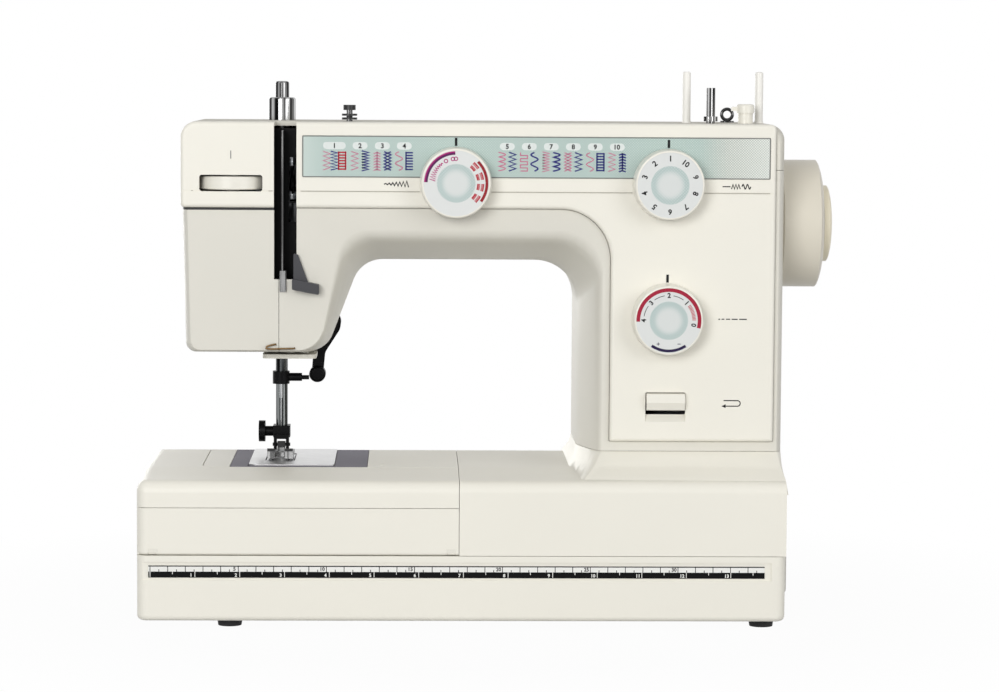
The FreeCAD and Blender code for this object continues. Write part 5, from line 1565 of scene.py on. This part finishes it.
@dataclass
class BentWire:
    """Round wire through a few bends, with closed ends."""

    name: str
    body: str
    bends: Sequence[tuple[float, float, float]]
    radius: float = 0.55
    sides: int = 10
    steps: int = 6
    edge: float = 50.0

    def line(self) -> np.ndarray:
        """Points along the wire.

        Each run is a cubic from one bend to the next, whose slope at a bend is half of
        the way between the two bends beside it.

        Returns:
            An array of points.
        """
        bends = np.asarray(self.bends, float)
        slope = np.gradient(bends, axis=0)
        t = np.linspace(0.0, 1.0, self.steps, endpoint=False)[None, :, None]
        here, there = bends[:-1, None], bends[1:, None]
        leave, arrive = slope[:-1, None], slope[1:, None]
        run = (here * (1 + 2 * t) * (1 - t) ** 2 + there * t * t * (3 - 2 * t)
               + leave * t * (1 - t) ** 2 + arrive * t * t * (t - 1))
        return np.vstack([run.reshape(-1, 3), bends[-1]])

    def build(self, material: bpy.types.Material) -> bpy.types.Object:
        """Carries a circle along the line, square to it, and closes both ends.

        Args:
            material: the wire's finish.

        Returns:
            The new piece.
        """
        line = self.line()
        ahead = np.gradient(line, axis=0)
        ahead /= np.linalg.norm(ahead, axis=1, keepdims=True)
        first = np.cross(ahead, (0.0, 0.0, 1.0))
        first /= np.linalg.norm(first, axis=1, keepdims=True)
        second = np.cross(ahead, first)
        angle = np.linspace(0.0, 2 * math.pi, self.sides, endpoint=False)[None, :, None]
        outward = np.cos(angle) * first[:, None] + np.sin(angle) * second[:, None]
        rings = line[:, None] + self.radius * outward
        grid = np.arange(len(line) * self.sides).reshape(-1, self.sides)
        beside = np.roll(grid, -1, axis=1)
        quads = np.stack([grid[:-1], beside[:-1], beside[1:], grid[1:]], axis=-1).reshape(-1, 4)
        mesh = bpy.data.meshes.new(self.name)
        caps = [grid[0, ::-1].tolist(), grid[-1].tolist()]
        mesh.from_pydata((rings.reshape(-1, 3) * MM).tolist(), [], quads.tolist() + caps)
        mesh.materials.append(material)
        mesh.shade_smooth()
        mesh.set_sharp_from_angle(angle=math.radians(self.edge))
        piece = linked(self.name, mesh)
        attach(piece, self.body)
        LOG.info("wire %s: %d faces", self.name, len(quads))
        return piece


def seen_rays(tree: bpy.types.NodeTree) -> Wire:
    """Mask of the rays that see a thing directly, in a mirror or through glass.

    Args:
        tree: the node tree that needs it.

    Returns:
        1 for such a ray, 0 for any other.
    """
    path = tree.nodes.new("ShaderNodeLightPath")
    kinds = ("Camera", "Glossy", "Transmission")
    return sum((Wire(tree, path.outputs["Is %s Ray" % kind]) for kind in kinds), 0.0).at_most(1.0)


@dataclass
class Studio:
    """White floor and background, soft light and the photograph's camera."""

    eye: tuple[float, float, float] = (-45.8, -1940.0, 315.9)
    aim: tuple[float, float, float] = (3.8, -89.0, 162.6)
    roll: float = 0.36
    lens: float = 118.4
    floor_size: float = 12000.0
    fade: Point = (215.0, 420.0)
    floor_grey: float = 0.52
    near_white: float = 0.965
    ambient: float = 0.44

    def build(self) -> None:
        """Makes the camera, the lamps, the world and the floor."""
        self.camera()
        self.lamp("key_light", (-850, -2250, 740), (0, -40, 170), 1000, 28.0)
        self.lamp("fill_light", (1450, -1700, 700), (0, -40, 170), 1200, 13.0)
        self.lamp("back_light", (-1100, 2000, 200), (0, 40, 170), 1500, 20.0)
        self.world()
        self.floor()
        bpy.context.scene.view_settings.view_transform = "Standard"

    def camera(self) -> None:
        """Sets the camera at the eye, looking at the aim."""
        data = bpy.data.cameras.new("camera")
        data.lens = self.lens
        data.sensor_width = 36.0
        data.clip_end = 100.0
        camera = linked("camera", data)
        eye, aim = Vector(self.eye) * MM, Vector(self.aim) * MM
        turn = (aim - eye).to_track_quat("-Z", "Y").to_matrix().to_4x4()
        tilt = turn @ Matrix.Rotation(math.radians(self.roll), 4, "Z")
        camera.matrix_world = Matrix.Translation(eye) @ tilt
        bpy.context.scene.camera = camera

    def lamp(self, name: str, place: Sequence[float], aim: Sequence[float],
             size: float, power: float) -> None:
        """Adds a square soft light.

        Args:
            name: its name.
            place: where it stands.
            aim: what it looks at.
            size: its side.
            power: its power in watts.
        """
        data = bpy.data.lights.new(name, "AREA")
        data.size = size * MM
        data.energy = power
        lamp = linked(name, data)
        lamp.location = Vector(place) * MM
        lamp.rotation_euler = (Vector(aim) - Vector(place)).to_track_quat("-Z", "Y").to_euler()

    def world(self) -> None:
        """Even light all round, white wherever it is seen directly or mirrored."""
        world = bpy.data.worlds.new("studio")
        world.use_nodes = True
        tree = world.node_tree
        tree.nodes.clear()
        back = tree.nodes.new("ShaderNodeBackground")
        plug(tree, back.inputs["Color"], (1.0, 1.0, 1.0))
        strength = self.ambient + seen_rays(tree) * (1.0 - self.ambient)
        plug(tree, back.inputs["Strength"], strength)
        out = tree.nodes.new("ShaderNodeOutputWorld")
        plug(tree, out.inputs["Surface"], back.outputs[0])
        bpy.context.scene.world = world

    def floor(self) -> None:
        """A pale floor that keeps the shadow near the machine and turns white further out."""
        half = self.floor_size * MM / 2
        mesh = bpy.data.meshes.new("floor")
        edge = [(-half, -half, 0), (half, -half, 0), (half, half, 0), (-half, half, 0)]
        mesh.from_pydata(edge, [], [(0, 1, 2, 3)])
        paint = Paint("floor_white")
        x, y, _ = paint.place()
        far = (x * x + y * y).root().ramp(*self.fade)
        plain = paint.node("BsdfDiffuse", entries={"Color": (self.floor_grey,) * 3})
        white = paint.node("Emission", entries={"Color": (1.0, 1.0, 1.0)})
        share = (self.near_white + far * (1.0 - self.near_white)) * seen_rays(paint.tree)
        shaders = {0: share, 1: plain.outputs[0], 2: white.outputs[0]}
        mixed = paint.node("MixShader", entries=shaders)
        paint.node("OutputMaterial", entries={"Surface": mixed.outputs[0]})
        mesh.materials.append(paint.material)
        floor = linked("floor", mesh)


def main() -> None:
    """Paints the solids, prints the marks and sets the studio."""
    logging.basicConfig(level=logging.INFO, format="%(message)s")
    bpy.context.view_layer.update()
    machine = Machine()
    machine.dress()
    dials = [WidthDial("width_dial"), PatternDial("pattern_dial"), LengthDial("length_dial")]
    for dial in dials:
        dial.dress(machine.cream)
        dial.build()
    for printed in (ControlStrip(), RulerTape()):
        printed.dress()
        printed.build()
    PanelSigns(dials).build()
    covers = ("front_cover", "rear_cover", "face_cover", "top_cover")
    for node in (*covers, "handwheel", "clutch_knob"):
        SmoothCasing(node).build()
    SmoothCasing("bed_cover", edge=52.0).build()
    FlapSkin().build()
    guide = BentWire("needle_thread_guide", "face_cover", [
        (-124.0, -59.5, 160.8), (-124.0, -62.4, 160.8), (-126.2, -62.9, 160.4),
        (-128.6, -63.0, 159.6), (-128.9, -63.0, 158.4), (-126.0, -63.1, 158.2),
        (-120.0, -63.2, 158.4), (-113.8, -63.0, 158.5), (-113.0, -62.2, 158.7)])
    guide.build(WorkedMetal("guide_wire", screen(122, 98, 68), 0.34).material())
    Studio().build()


if __name__ == "__main__":
    main()
